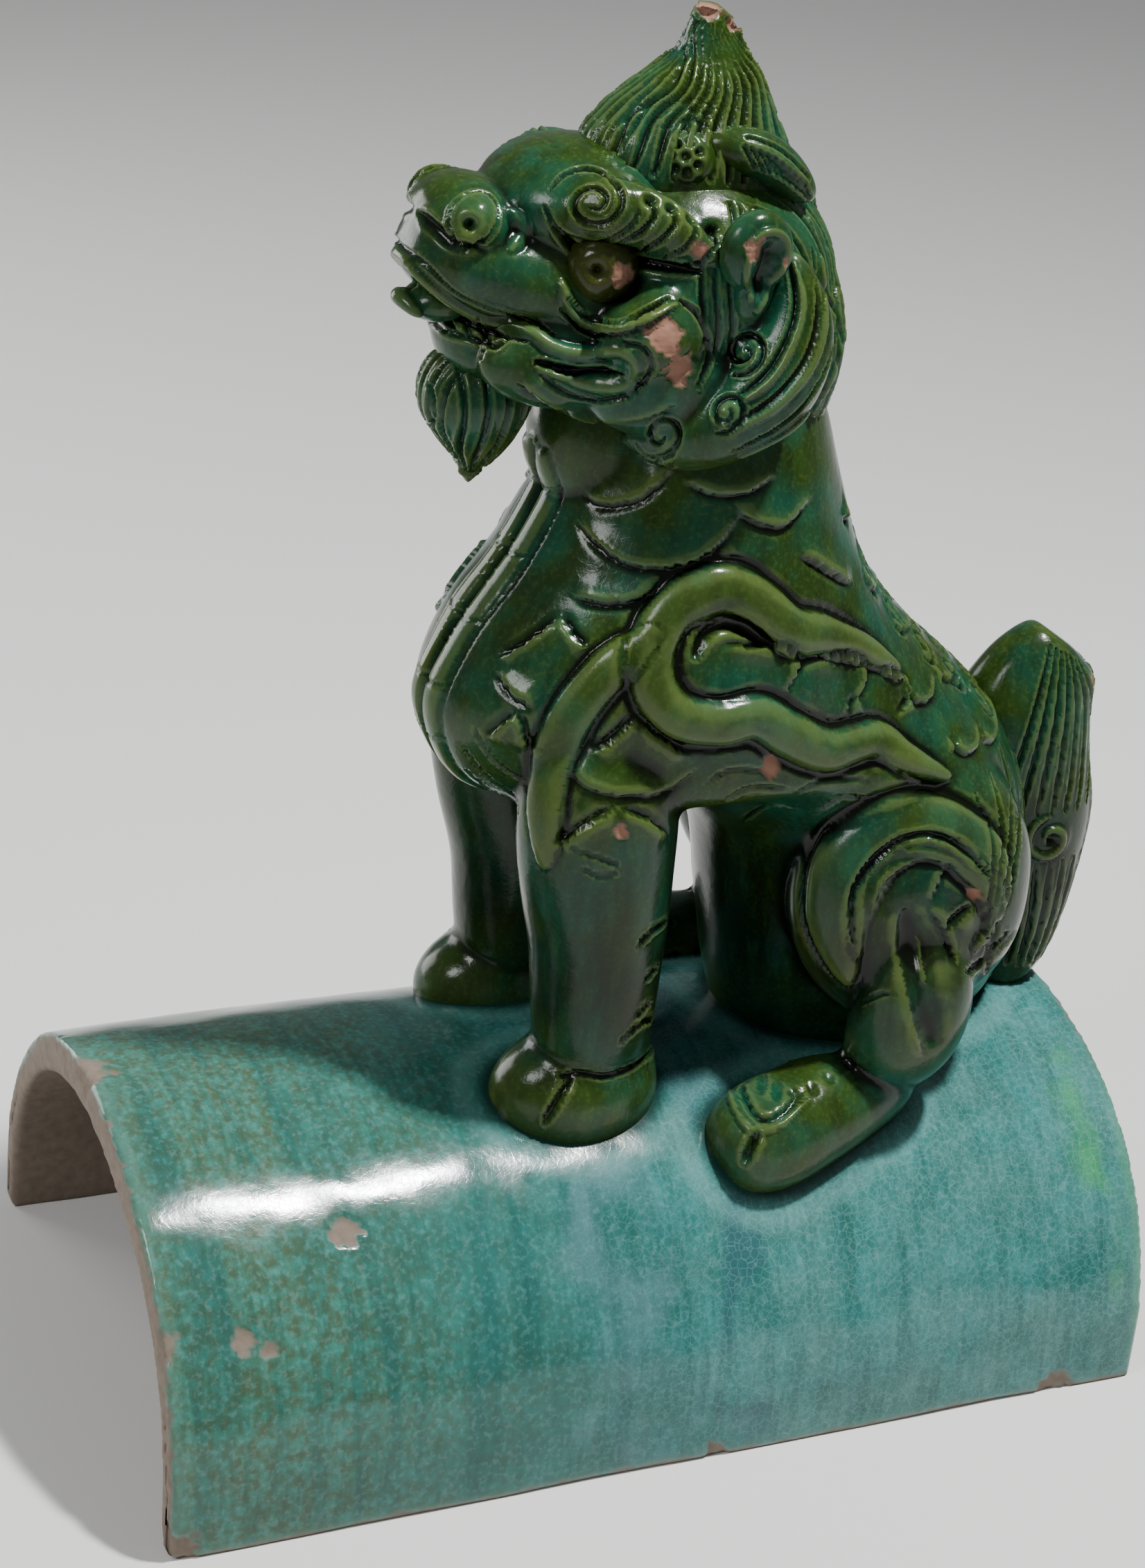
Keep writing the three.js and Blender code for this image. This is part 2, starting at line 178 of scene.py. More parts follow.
def apply_modifier(piece: bpy.types.Object, kind: str, **settings: float | str | bool) -> None:
    """Adds a modifier with its settings and applies it.

    Args:
        piece: the object to finish.
        kind: the modifier's type.
        settings: its properties by name.
    """
    only(piece)
    modifier = piece.modifiers.new(kind.title(), kind)
    for name, value in settings.items():
        setattr(modifier, name, value)
    bpy.ops.object.modifier_apply(modifier=modifier.name)


def fuse(name: str, pieces: Sequence[bpy.types.Object], voxel: float, passes: int) -> bpy.types.Object:
    """Joins clay forms into one skin and strokes the seams smooth.

    Args:
        name: name of the joined piece.
        pieces: closed forms that overlap.
        voxel: size of the new skin's squares, in mm.
        passes: how many times the skin is smoothed.

    Returns:
        The joined piece.
    """
    only(*pieces)
    bpy.ops.object.join()
    whole = bpy.context.view_layer.objects.active
    whole.name = whole.data.name = name
    apply_modifier(whole, "REMESH", mode="VOXEL", voxel_size=voxel * MM, use_smooth_shade=True)
    if passes:
        apply_modifier(whole, "SMOOTH", factor=0.5, iterations=passes)
    return whole


# ---------------------------------------------------------------- clay forms


def ball(name: str, around: int, rings: int) -> tuple[bpy.types.Object, np.ndarray]:
    """A unit sphere to be pressed into shape, and its vertices with the poles on Z.

    Args:
        name: name of the sphere.
        around: faces round it.
        rings: faces from pole to pole.

    Returns:
        The sphere and its vertices.
    """
    bpy.ops.object.select_all(action="DESELECT")
    bpy.ops.mesh.primitive_uv_sphere_add(segments=around, ring_count=rings, radius=1)
    piece = bpy.context.view_layer.objects.active
    piece.name = piece.data.name = name
    return piece, read_points(piece) * MM


def roll(
    name: str,
    spine: Sequence[Point],
    wide: Sequence[float],
    deep: Sequence[float],
    side: Point = (1, 0, 0),
    blunt: float = 2.0,
    around: int = 40,
    rings: int = 36,
) -> bpy.types.Object:
    """A clay roll along a spine, with rounded ends.

    Args:
        name: name of the form.
        spine: points in mm along its middle.
        wide: half widths along `side`, in mm, evenly spaced along the spine.
        deep: half widths square to that, in mm.
        side: the direction that wide is measured along.
        blunt: how full its ends are, from 2 for an egg.
        around: faces round it.
        rings: faces along it.

    Returns:
        The closed form.
    """
    piece, unit_points = ball(name, around, rings)
    level = np.clip(unit_points[:, 2], -1, 1)
    t = (1 - level) / 2
    middle = smooth(spine, t)
    tangent = unit(smooth(spine, t + 0.01) - smooth(spine, t - 0.01))
    deep_way = unit(np.cross(tangent, np.asarray(side, float)))
    wide_way = unit(np.cross(deep_way, tangent))
    angle = np.arctan2(unit_points[:, 1], unit_points[:, 0])
    full = (1 - np.abs(level) ** blunt).clip(0) ** (1 / blunt)
    across = full * smooth(wide, t) * np.cos(angle)
    through = full * smooth(deep, t) * np.sin(angle)
    write_points(piece, middle + wide_way * across[:, None] - deep_way * through[:, None])
    return piece


def egg(
    name: str, centre: Point, half: Point, pitch: float = 0, yaw: float = 0, lean: float = 0
) -> bpy.types.Object:
    """An egg of clay.

    Args:
        name: name of the form.
        centre: its middle in mm.
        half: its half sizes in mm.
        pitch: turn about X in radians.
        yaw: turn about Z in radians.
        lean: turn about Y in radians.

    Returns:
        The closed form.
    """
    piece, points = ball(name, *EGG_FACES)
    turn = np.array(
        Matrix.Rotation(yaw, 3, "Z") @ Matrix.Rotation(lean, 3, "Y") @ Matrix.Rotation(pitch, 3, "X")
    )
    write_points(piece, points * np.asarray(half) @ turn.T + np.asarray(centre))
    return piece


def between(name: str, stations: Sequence[tuple], blunt: float) -> bpy.types.Object:
    """A body between two outlines in the middle plane.

    Args:
        name: name of the form.
        stations: rows of front (y, up), back (y, up) and half width, in mm.
        blunt: how full its ends are.

    Returns:
        The closed form.
    """
    piece, points = ball(name, *HULL_FACES)
    level = np.clip(points[:, 2], -1, 1)
    t = (1 - level) / 2
    front = smooth([above(0, *row[0]) for row in stations], t)
    back = smooth([above(0, *row[1]) for row in stations], t)
    half = smooth([row[2] for row in stations], t)
    angle = np.arctan2(points[:, 1], points[:, 0])
    full = (1 - np.abs(level) ** blunt).clip(0) ** (1 / blunt)
    shape = (front + back) / 2 + (back - front) * (full * np.sin(angle) / 2)[:, None]
    shape[:, 0] = full * half * np.cos(angle)
    write_points(piece, shape)
    return piece


# ---------------------------------------------------------------- tool marks


class Mark(Enum):
    """What a tool or a laid-on roll does to the clay along its path."""

    GROOVE = "groove"
    RIDGE = "ridge"
    RIBBON = "ribbon"
    STEP = "step"
    PIT = "pit"
    SWELL = "swell"


class Way(Enum):
    """The direction that a path is pressed onto the clay along."""

    EYE = "eye"
    FLANK = "flank"
    FRONT = "front"
    BACK = "back"
    TOP = "top"
    NEAREST = "nearest"


WAYS = {
    Way.FLANK: np.array([-1.0, 0, 0]),
    Way.FRONT: np.array([0, 1.0, 0]),
    Way.BACK: np.array([0, -1.0, 0]),
    Way.TOP: np.array([0, 0, -1.0]),
}


@dataclass(frozen=True)
class Stroke:
    """One stroke on the clay.

    Attributes:
        path: points in mm on the surface.
        kind: what it does to the clay.
        width: half width in mm.
        height: how far it stands up or cuts in, in mm.
        taper: share of the width left at its ends.
        lean: for a step, the direction that it drops towards.
    """

    path: np.ndarray
    kind: Mark
    width: float
    height: float
    taper: float = 1.0
    lean: tuple = (0, 0, -1)

    def lift(self, points: np.ndarray) -> np.ndarray:
        """How far each point moves out, in mm.

        Args:
            points: vertices in mm.

        Returns:
            One distance for each point, negative where the tool cuts in.
        """
        reach = self.width * (STEP_SPREAD if self.kind is Mark.STEP else MARK_SPREAD) + 1
        low, high = self.path.min(0) - reach, self.path.max(0) + reach
        near = np.flatnonzero(((points > low) & (points < high)).all(1))
        out = np.zeros(len(points))
        if not len(near):
            return out
        gap, place, foot = nearest_on(self.path, points[near])
        ends = np.clip(np.minimum(place, 1 - place) * 5, 0, 1)
        width = self.width * (self.taper + (1 - self.taper) * ends**0.6)
        share = gap / width
        if self.kind is Mark.STEP:
            drop = (points[near] - foot) @ unit(np.asarray(self.lean, float)) > 0
            raised = np.exp(-((share / 3.2) ** 1.6)) * (1 - 0.35 * np.exp(-((share / 0.5) ** 2)))
            out[near] = np.where(drop, -np.exp(-((share / 1.3) ** 2)), raised) * self.height * ends
        else:
            out[near] = self.profile(share) * self.height * (width / self.width) ** 0.5
        return out

    def profile(self, share: np.ndarray) -> np.ndarray:
        """Height of the mark, as a share of its full height, at a share of its half width.

        Args:
            share: distance from the path, in half widths.

        Returns:
            Heights, negative where the tool cuts in.
        """
        inside = np.clip(1 - share**2, 0, 1)
        if self.kind is Mark.GROOVE:
            burr = 0.28 * np.exp(-(((share - 1.35) / 0.4) ** 2))
            return -(inside**1.3) + burr
        if self.kind is Mark.RIDGE:
            return inside**0.8 - 0.22 * np.exp(-(((share - 1.3) / 0.35) ** 2))
        if self.kind is Mark.RIBBON:
            body = np.clip(1 - share**2.2, 0, 1) ** 0.6
            return body - 0.3 * np.exp(-(((share - 1.16) / 0.16) ** 2))
        if self.kind is Mark.PIT:
            return -np.exp(-(share**2) * 1.5)
        return np.exp(-(share**2) * 1.4)


def nearest_on(path: np.ndarray, points: np.ndarray) -> tuple[np.ndarray, np.ndarray, np.ndarray]:
    """The nearest places on a path.

    Args:
        path: its points in mm.
        points: vertices in mm.

    Returns:
        The distance of each vertex, how far along the path its place is from 0 to 1, and that place.
    """
    best = np.linalg.norm(points - path[0], axis=1)
    place = np.zeros(len(points)) if len(path) > 1 else np.full(len(points), 0.5)
    foot = np.repeat(path[:1], len(points), axis=0)
    steps = np.linalg.norm(np.diff(path, axis=0), axis=1)
    walked = np.concatenate([[0], np.cumsum(steps)]) / max(steps.sum(), 1e-9)
    for k, (start, end) in enumerate(zip(path[:-1], path[1:])):
        way = end - start
        u = np.clip(((points - start) @ way) / max(way @ way, 1e-9), 0, 1)
        spot = start + u[:, None] * way
        gap = np.linalg.norm(points - spot, axis=1)
        closer = gap < best
        best[closer] = gap[closer]
        foot[closer] = spot[closer]
        place[closer] = walked[k] + (walked[k + 1] - walked[k]) * u[closer]
    return best, place, foot


class Tooling:
    """Tool marks on one piece of clay: paths are laid on its skin, then pressed in together."""

    def __init__(self, piece: bpy.types.Object) -> None:
        """Takes the piece's skin as it is, to lay paths on.

        Args:
            piece: the clay to mark.
        """
        self.piece = piece
        self.strokes: list[Stroke] = []
        self.look()

    def look(self) -> None:
        """Takes the skin as it is now."""
        bpy.context.view_layer.update()
        self.tree = BVHTree.FromObject(self.piece, bpy.context.evaluated_depsgraph_get())

    def lay(self, points: np.ndarray, way: Way, side: int, step: float) -> list[np.ndarray]:
        """Lays a path on the skin.

        Args:
            points: corners of a smooth path in mm.
            way: direction that it is pressed along.
            side: 1 for the path as given, -1 for its mirror image.
            step: spacing of its points in mm.

        Returns:
            Points on the skin, as one path or several where it jumps from form to form.
        """
        flip = np.array([side, 1, 1])
        points = np.atleast_2d(points) * flip
        if len(points) > 1:
            length = np.linalg.norm(np.diff(points, axis=0), axis=1).sum()
            points = smooth(points, np.linspace(0, 1, max(int(length / step), 3)))
        laid = []
        for point in points:
            if way is Way.NEAREST:
                spot = self.tree.find_nearest(Vector(point * MM))[0]
            else:
                ahead = unit(point - EYE * flip) if way is Way.EYE else WAYS[way] * flip
                spot = self.tree.ray_cast(Vector((point - ahead * CAST) * MM), Vector(ahead))[0]
            if spot is not None:
                laid.append(np.array(spot) / MM)
        if not laid:
            return []
        laid = np.array(laid)
        jumps = np.flatnonzero(np.linalg.norm(np.diff(laid, axis=0), axis=1) > JUMP * step)
        return [part for part in np.split(laid, jumps + 1) if len(part) > 1 or len(points) == 1]

    def mark(
        self,
        kind: Mark,
        points: Sequence,
        width: float,
        height: float,
        way: Way = Way.EYE,
        taper: float = 1.0,
        both: bool = True,
        lean: tuple = (0, 0, -1),
        step: float = 1.2,
    ) -> None:
        """Adds one stroke, or a mirrored pair.

        Args:
            kind: what it does to the clay.
            points: its path in mm, as above() gives them.
            width: half width in mm.
            height: height or depth in mm.
            way: direction that it is pressed along.
            taper: share of the width left at its ends.
            both: adds the mirror image across X too.
            lean: for a step, the direction that it drops towards.
            step: spacing of its points in mm.
        """
        for side in (1, -1) if both else (1,):
            for path in self.lay(points, way, side, step):
                self.strokes.append(Stroke(path, kind, width, height, taper, (lean[0] * side, *lean[1:])))

    def draw(
        self, kind: Mark, x: float, width: float, height: float, *points: tuple, **options: object
    ) -> None:
        """Adds a pair of strokes given by (y, up) points at a distance x from the middle plane."""
        self.mark(kind, [above(x, *point) for point in points], width, height, **options)

    def press(self, soften: int = 0) -> None:
        """Presses all strokes in and starts a fresh set.

        Args:
            soften: passes of smoothing afterwards.
        """
        points = read_points(self.piece)
        normals = read_normals(self.piece)
        out, into = np.zeros(len(points)), np.zeros(len(points))
        for stroke in self.strokes:
            moved = stroke.lift(points)
            out = np.maximum(out, moved)
            into = np.minimum(into, moved)
        write_points(self.piece, points + normals * (out + into)[:, None])
        if soften:
            apply_modifier(self.piece, "SMOOTH", factor=0.4, iterations=soften)
        log.info("%s: %d strokes", self.piece.name, len(self.strokes))
        self.strokes = []
        self.look()


def spiral(centre: tuple, start: float, end: float, turns: float, angle: float) -> list[tuple]:
    """Points (y, up) of a spiral seen from the side.

    Args:
        centre: its middle as (y, up) in mm.
        start: radius at the outside in mm.
        end: radius at the inside in mm.
        turns: how often it goes round, negative for the other way.
        angle: where it starts, in degrees from +Y towards +Z.

    Returns:
        Its points.
    """
    t = np.linspace(0, 1, max(int(abs(turns) * SPIRAL_POINTS), 6))
    radius = start + (end - start) * t
    turn = math.radians(angle) + 2 * math.pi * turns * t
    return [(centre[0] + r * math.cos(a), centre[1] + r * math.sin(a)) for r, a in zip(radius, turn)]


def lumps(points: np.ndarray, size: float, seed: int) -> np.ndarray:
    """Soft random unevenness.

    Args:
        points: places in mm.
        size: distance between lumps in mm.
        seed: which pattern.

    Returns:
        About -1 to 1 for each point.
    """
    dice = np.random.default_rng(seed)
    total = np.zeros(len(points))
    for _ in range(WAVES):
        way = unit(dice.normal(size=3))
        total += np.sin(points @ way * 2 * math.pi / (size * dice.uniform(0.7, 1.5)) + dice.uniform(0, 6.3))
    return total / (WAVES / 2)


def keep_relief(piece: bpy.types.Object, passes: int = 24, depth: float = 0.9) -> None:
    """Keeps how hollow and how sharp the skin is, for the glaze that runs off edges and gathers in grooves.

    Args:
        piece: the finished clay.
        passes: how far round a point its surroundings reach.
        depth: hollow in mm that fills up with glaze.
    """
    normals = read_normals(piece)
    points = read_points(piece)
    edges = np.empty(len(piece.data.edges) * 2, np.int32)
    piece.data.edges.foreach_get("vertices", edges)
    one, two = edges.reshape(-1, 2).T
    count = np.maximum(np.bincount(one, minlength=len(points)) + np.bincount(two, minlength=len(points)), 1)
    flat = points.copy()
    for step in range(passes):
        if step == EDGE_PASSES:
            sharp = ((points - flat) * normals).sum(1) / EDGE_HEIGHT
            keep_number(piece, "edge", np.clip(sharp, 0, MOST_RELIEF))
        total = np.stack(
            [
                np.bincount(one, flat[two, k], len(points)) + np.bincount(two, flat[one, k], len(points))
                for k in range(3)
            ],
            axis=1,
        )
        flat = total / count[:, None]
    hollow = ((flat - points) * normals).sum(1) / depth
    keep_number(piece, "hollow", np.clip(hollow, -MOST_RELIEF, MOST_RELIEF))


def keep_number(piece: bpy.types.Object, name: str, values: np.ndarray) -> None:
    """Keeps one number per vertex on a piece, under a name that its material reads."""
    layer = piece.data.attributes.get(name) or piece.data.attributes.new(name, "FLOAT", "POINT")
    layer.data.foreach_set("value", values.astype(np.float32))


def chip(piece: bpy.types.Object, spots: Sequence[tuple], depth: float = 0.8) -> None:
    """Breaks glaze off a piece, down to the bare clay.

    Args:
        piece: the finished clay.
        spots: rows of a place in mm, taken to the nearest skin, and a radius.
        depth: how deep the break is, in mm.
    """
    skin = Tooling(piece)
    spots = [(skin.lay(place, Way.NEAREST, 1, 1)[0][0], radius) for place, radius in spots]
    points = read_points(piece)
    normals = read_normals(piece)
    bare = np.zeros(len(points))
    ragged = lumps(points, 7, 5) * 0.35 + lumps(points, 2.6, 6) * 0.2
    for place, radius in spots:
        share = np.linalg.norm(points - place, axis=1) / radius + ragged
        bare = np.maximum(bare, np.clip((1 - share) * 5, 0, 1))
    rough = (lumps(points, 2.2, 8) + lumps(points, 1.1, 9)) * 0.12
    write_points(piece, points - normals * (bare * (depth + rough))[:, None])
    keep_number(piece, "chip", bare)


# ---------------------------------------------------------------- the seated body


@dataclass
class LionBody:
    """The seated body, modelled as one piece of clay and cut into torso and legs when it is done.

    Attributes:
        coarse: squares of the first skin in mm.
        fine: squares of the finished skin in mm.
        ribbon: half width of the laid-on ribbons in mm.
        hip: where the forelegs are cut from the chest, above the crown, in mm.
        foreleg_back: how far back the forelegs reach above their paws and at the paws, in mm.
        paw_up: height of the paws above the crown, in mm.
        haunch: the oval that a hind leg is cut along: its y, height and half sizes in mm.
        hind_in: how far from the middle a hind leg begins, in mm.
        hind_foot: height of a hind foot and its front and back ends, in mm.
        finish: the glaze.
    """

    finish: "Glaze"
    coarse: float = 1.7
    fine: float = 1.08
    ribbon: float = 6.3
    hip: float = 74
    foreleg_back: tuple = (17, 10)
    paw_up: float = 20
    haunch: tuple = (72, 52, 38, 46)
    hind_in: float = 36
    hind_foot: tuple = (24, 2, 96)

    def build(self) -> list[bpy.types.Object]:
        """Models, marks, cuts and dresses the body.

        Returns:
            Torso, forelegs and hind legs.
        """
        body = fuse("lion_body", self.forms(), self.coarse, 7)
        apply_modifier(body, "REMESH", mode="VOXEL", voxel_size=self.fine * MM, use_smooth_shade=True)
        tools = Tooling(body)
        self.ribbons(tools)
        tools.press(soften=1)
        self.scales(tools)
        self.limbs(tools)
        self.fur(tools)
        tools.press()
        points = read_points(body)
        write_points(body, points + read_normals(body) * (lumps(points, 24, 3) * 0.25)[:, None])
        keep_relief(body, 40)
        chip(body, [(above(50, 22, 103), 3.0), (above(45, -21, 88), 2.2), (above(52, 92, 62), 2.2)], 0.5)
        return self.cut(body)

    def forms(self) -> list[bpy.types.Object]:
        """The rolls and eggs of clay that the body starts as.

        Returns:
            The closed forms.
        """
        stations = [
            ((37, -12), (136, -8), 34),
            ((34, 30), (139, 32), 42),
            ((26, 66), (129, 74), 46),
            ((4, 84), (113, 99), 49),
            ((-42, 82), (96, 115), 50),
            ((-59, 104), (77, 132), 51),
            ((-53, 127), (65, 149), 47),
            ((-40, 147), (58, 166), 41),
            ((-29, 170), (51, 188), 37),
            ((-26, 190), (46, 208), 36),
        ]
        forms = [between("torso_clay", stations, 8), egg("throat_clay", above(0, -14, 184), (22, 20, 24))]
        for side in (1, -1):
            leg = [above(31 * side, -16, 118), above(33 * side, -19, 82), above(31 * side, -14, 40)]
            leg.append(above(31 * side, -14, tile_up(31) + 6))
            heel, toe = above(46 * side, 84, tile_up(46) + 6), above(58 * side, 18, tile_up(58) + 1)
            shank = [
                above(52 * side, 78, 44), above(55 * side, 76, 22),
                above(46 * side, 76, tile_up(46) + 8),
            ]
            forms += [
                roll("foreleg_clay", leg, [15, 19, 19, 17], [19, 23, 19, 17], blunt=5),
                egg("forepaw_clay", above(31 * side, -17, tile_up(31) + 1), (19, 25, 19)),
                egg("haunch_clay", above(38 * side, 80, 54), (22, 38, 42), lean=-0.12 * side),
                roll("shank_clay", shank, [14, 14, 14], [18, 18, 18], blunt=3),
                roll(
                    "hindpaw_clay", [heel, (heel + toe) / 2 + (0, 0, 2), toe], [12, 16, 20],
                    [10, 15, 19], blunt=2.8,
                ),
            ]
        return forms

    def ribbons(self, tools: Tooling) -> None:
        """Lays on the bands: two ribbons over the shoulder, the haunch's ring and the chest strap.

        Args:
            tools: the tooling of the piece to mark.
        """
        draw = tools.draw
        shoulder = [
            (81, 92), (66, 100), (56, 106), (42, 104), (29, 110), (19, 116), (8, 115), (-4, 118),
            (-12, 126),
        ]
        shoulder += [
            (-15, 138), (-11, 149), (-3, 154), (6, 155), (16, 149), (26, 141), (36, 139), (48, 134),
            (60, 126),
        ]
        draw(Mark.RIBBON, 46, self.ribbon, 3.6, *shoulder, taper=0.3)
        foreleg = [(-37, 76), (-39, 92), (-38.5, 104), (-35, 116), (-29, 126), (-21, 135), (-13, 141)]
        draw(Mark.RIBBON, 41, self.ribbon - 0.4, 3.0, *foreleg, taper=0.4)
        ring = [
            (53, 36), (47, 50), (44.5, 62), (45.5, 74), (53, 82), (64, 84.5), (77, 81), (88, 73),
            (96, 62), (98, 50),
        ]
        draw(Mark.RIBBON, 56, self.ribbon + 2.2, 3.6, *ring, taper=0.3)
        rim = [
            (54, 45), (53, 57), (56, 68), (61, 74), (69, 76), (79, 73), (88, 66), (94, 58), (96, 50),
            (92, 42),
        ]
        draw(Mark.RIBBON, 58, 3.4, 2.4, *rim, taper=0.4)
        strap = [above(5.6, -120, up) for up in (178, 158, 138, 120, 104, 90, 78)]
        tools.mark(Mark.RIBBON, strap, 4.0, 1.5, way=Way.FRONT, taper=0.7)
        draw(Mark.SWELL, 31, 9, 3, (-7, 6), way=Way.NEAREST)

    def scales(self, tools: Tooling) -> None:
        """Cuts the overlapping leaf scales of throat, chest, shoulders and back.

        Args:
            tools: the tooling of the piece to mark.
        """
        draw = tools.draw
        down, up = (0, 0, -1), (0, -0.2, 1)
        lower_edges = [
            (34, (-35, 173), (-28, 165), (-17, 158), (-4, 157), (6, 161), (13, 171)),
            (34, (-33, 180), (-28, 176), (-17, 177), (-8, 185)),
            (38, (-36, 153), (-27, 150), (-17, 150), (-9, 155)),
            (36, (9, 174), (16, 169), (25, 167), (32, 175)),
            (40, (28, 161), (36, 156), (46, 150)),
            (40, (-56, 134), (-51, 127), (-44, 122)),
            (42, (-34, 104), (-25, 97), (-13, 94), (-4, 95), (6, 101)),
            (34, (-5, 181), (3, 177), (13, 176), (22, 181)),
            (46, (37, 173), (44, 168), (50, 170)),
        ]
        for x, *edge in lower_edges:
            draw(Mark.STEP, x, 1.3, 1.5, *edge, lean=down)
            draw(Mark.RIDGE, x, 0.9, 0.6, *edge, taper=0.3)
        upper_edges = [
            (38, (-55, 136), (-46, 141), (-38, 147)),
            (38, (-38, 147), (-35, 142), (-30, 137)),
            (38, (-56, 114), (-51, 118), (-48, 120)),
            (38, (-48, 120), (-46, 115), (-44, 109)),
            (42, (-27, 108), (-21, 112), (-15, 118)),
            (42, (-15, 118), (-8, 111), (2, 104)),
            (42, (-36, 81), (-27, 86), (-18, 91)),
            (44, (-18, 91), (-11, 88), (-3, 82)),
        ]
        for x, *edge in upper_edges:
            draw(Mark.STEP, x, 1.3, 1.5, *edge, lean=up)
            draw(Mark.RIDGE, x, 0.8, 0.5, *edge, taper=0.3)
        draw(Mark.GROOVE, 50, 2.6, 2.2, (-4, 138), (-2, 144), (4, 146.5), (11, 144), (17, 140), taper=0.5)
        inner = [
            ((3, 140), (13, 139), (23, 138), (27, 132), (24, 124)),
            ((27, 134), (36, 134.5), (45, 133), (48, 125), (43, 116)),
            ((49, 129), (58, 128), (63, 121), (59, 114)),
        ]
        for edge in inner:
            draw(Mark.STEP, 50, 1.0, 1.4, *edge, lean=(0, 0.8, 0.6))
        for y, height in ((65, 141), (78, 127), (92, 112), (76, 112), (90, 97), (104, 95)):
            arc = [(y - 7, height + 5), (y - 2, height - 1), (y + 5, height - 2), (y + 9, height + 3)]
            draw(Mark.STEP, 40, 1.1, 1.1, *arc, lean=(0, 0.5, -1), way=Way.FLANK)
        for side_up in (168, 150, 132, 114, 98):
            tools.mark(
                Mark.GROOVE, [above(1.5, -120, side_up), above(9, -120, side_up + 2)], 0.6, 0.6,
                way=Way.FRONT,
            )
        middle = [above(0, -120, up) for up in (180, 165, 150, 135, 120, 105, 92, 80)]
        tools.mark(Mark.GROOVE, middle, 1.8, 2.6, way=Way.FRONT, both=False)
        for up_from in (92, 100, 108):
            x = 14 + (up_from - 92) * 0.5
            flow = [
                above(x, -120, up_from), above(x + 4, -120, up_from - 9),
                above(x + 12, -120, up_from - 14),
            ]
            tools.mark(Mark.GROOVE, flow, 0.9, 0.8, way=Way.FRONT)

    def limbs(self, tools: Tooling) -> None:
        """Cuts the marks of paws, ankles and haunches.

        Args:
            tools: the tooling of the piece to mark.
        """
        draw = tools.draw
        for y, up in ((-4, 51), (0, 40), (-1, 29), (-6, 20)):
            draw(
                Mark.GROOVE, 42, 1.3, 1.7, (y - 3, up - 5), (y - 1, up - 2), (y + 4, up + 2),
                (y + 7, up + 2), taper=0.3,
            )
        draw(Mark.GROOVE, 44, 1.1, 1.4, (-27, 9), (-22, 9.5), (-14, 7), (-7, 8), (0, 13))
        draw(Mark.GROOVE, 44, 1.5, 2.0, (-24, 8), (-27, 2), (-31, -6), taper=0.5)
        draw(Mark.GROOVE, 38, 0.8, 0.9, (-28, 78), (-20, 74), (-14, 71))
        draw(Mark.GROOVE, 38, 0.8, 0.9, (-24, 71), (-19, 68), (-14, 68))
        draw(
            Mark.GROOVE, 56, 1.3, 1.8, (53, 48), (51, 57), (51, 65), (56, 74), (65, 79.5), (75, 79),
            (85, 73), (94, 64), taper=0.5,
        )
        draw(
            Mark.GROOVE, 58, 0.8, 0.7, (57, 60), (59, 66), (64, 70.5), (70, 72.5), (79, 70), (86, 64),
            taper=0.5,
        )
        draw(Mark.STEP, 58, 0.8, 0.9, (78, 72), (76, 65), (74, 59), lean=(0, 1, -0.3))
        draw(Mark.GROOVE, 58, 1.5, 1.8, (81, 50), (84, 53), (88, 56), taper=0.2)
        draw(Mark.SWELL, 58, 4.5, 1.2, (87, 51))
        draw(Mark.GROOVE, 57, 1.1, 1.6, (91, 33), (97, 38), (103, 46), taper=0.3)
        draw(Mark.RIDGE, 57, 1.2, 0.9, (93, 32), (99, 37), (105, 45), taper=0.3)
        hollow = [(69, 54), (73, 43), (78, 28), (85, 11)]
        draw(Mark.PIT, 56, 6.5, 3.0, *hollow, taper=0.5)
        draw(Mark.STEP, 58, 1.2, 1.4, (66, 58), (66, 47), (70.5, 34), (76.5, 18), (81, 7), lean=(0, 1, 0))
        draw(Mark.STEP, 58, 1.1, 1.2, (74, 58), (79, 52), (83, 45), (87, 36), lean=(0, -1, -0.2))
        draw(Mark.RIDGE, 58, 1.1, 1.0, (73, 48), (75, 40), (78, 31), taper=0.3)
        draw(Mark.GROOVE, 60, 0.8, 0.8, (57, 30), (62, 32), (68, 31))
        draw(Mark.RIDGE, 62, 1.2, 1.0, (18, 17), (17, 7), (25, -6), (34, -6), (42, 1), taper=0.4)
        draw(Mark.GROOVE, 62, 1.2, 1.6, (20.5, 17), (20.5, 8), (27, -2.5), (34, -2.5), (40, 5), taper=0.4)
        nails = [
            ((26, 14), (27, 6)), ((31, 9), (32, 3)), ((37, 6), (38, 1)), ((42, 7), (44, 3)),
            ((47, 9), (49, 6)),
        ]
        for start, end in nails + [((53, 13), (55, 10))]:
            draw(Mark.PIT, 62, 1.5, 0.9, start, end, taper=0.5)
        draw(Mark.GROOVE, 64, 1.9, 2.4, (26, -6), (23, -15), taper=0.7)

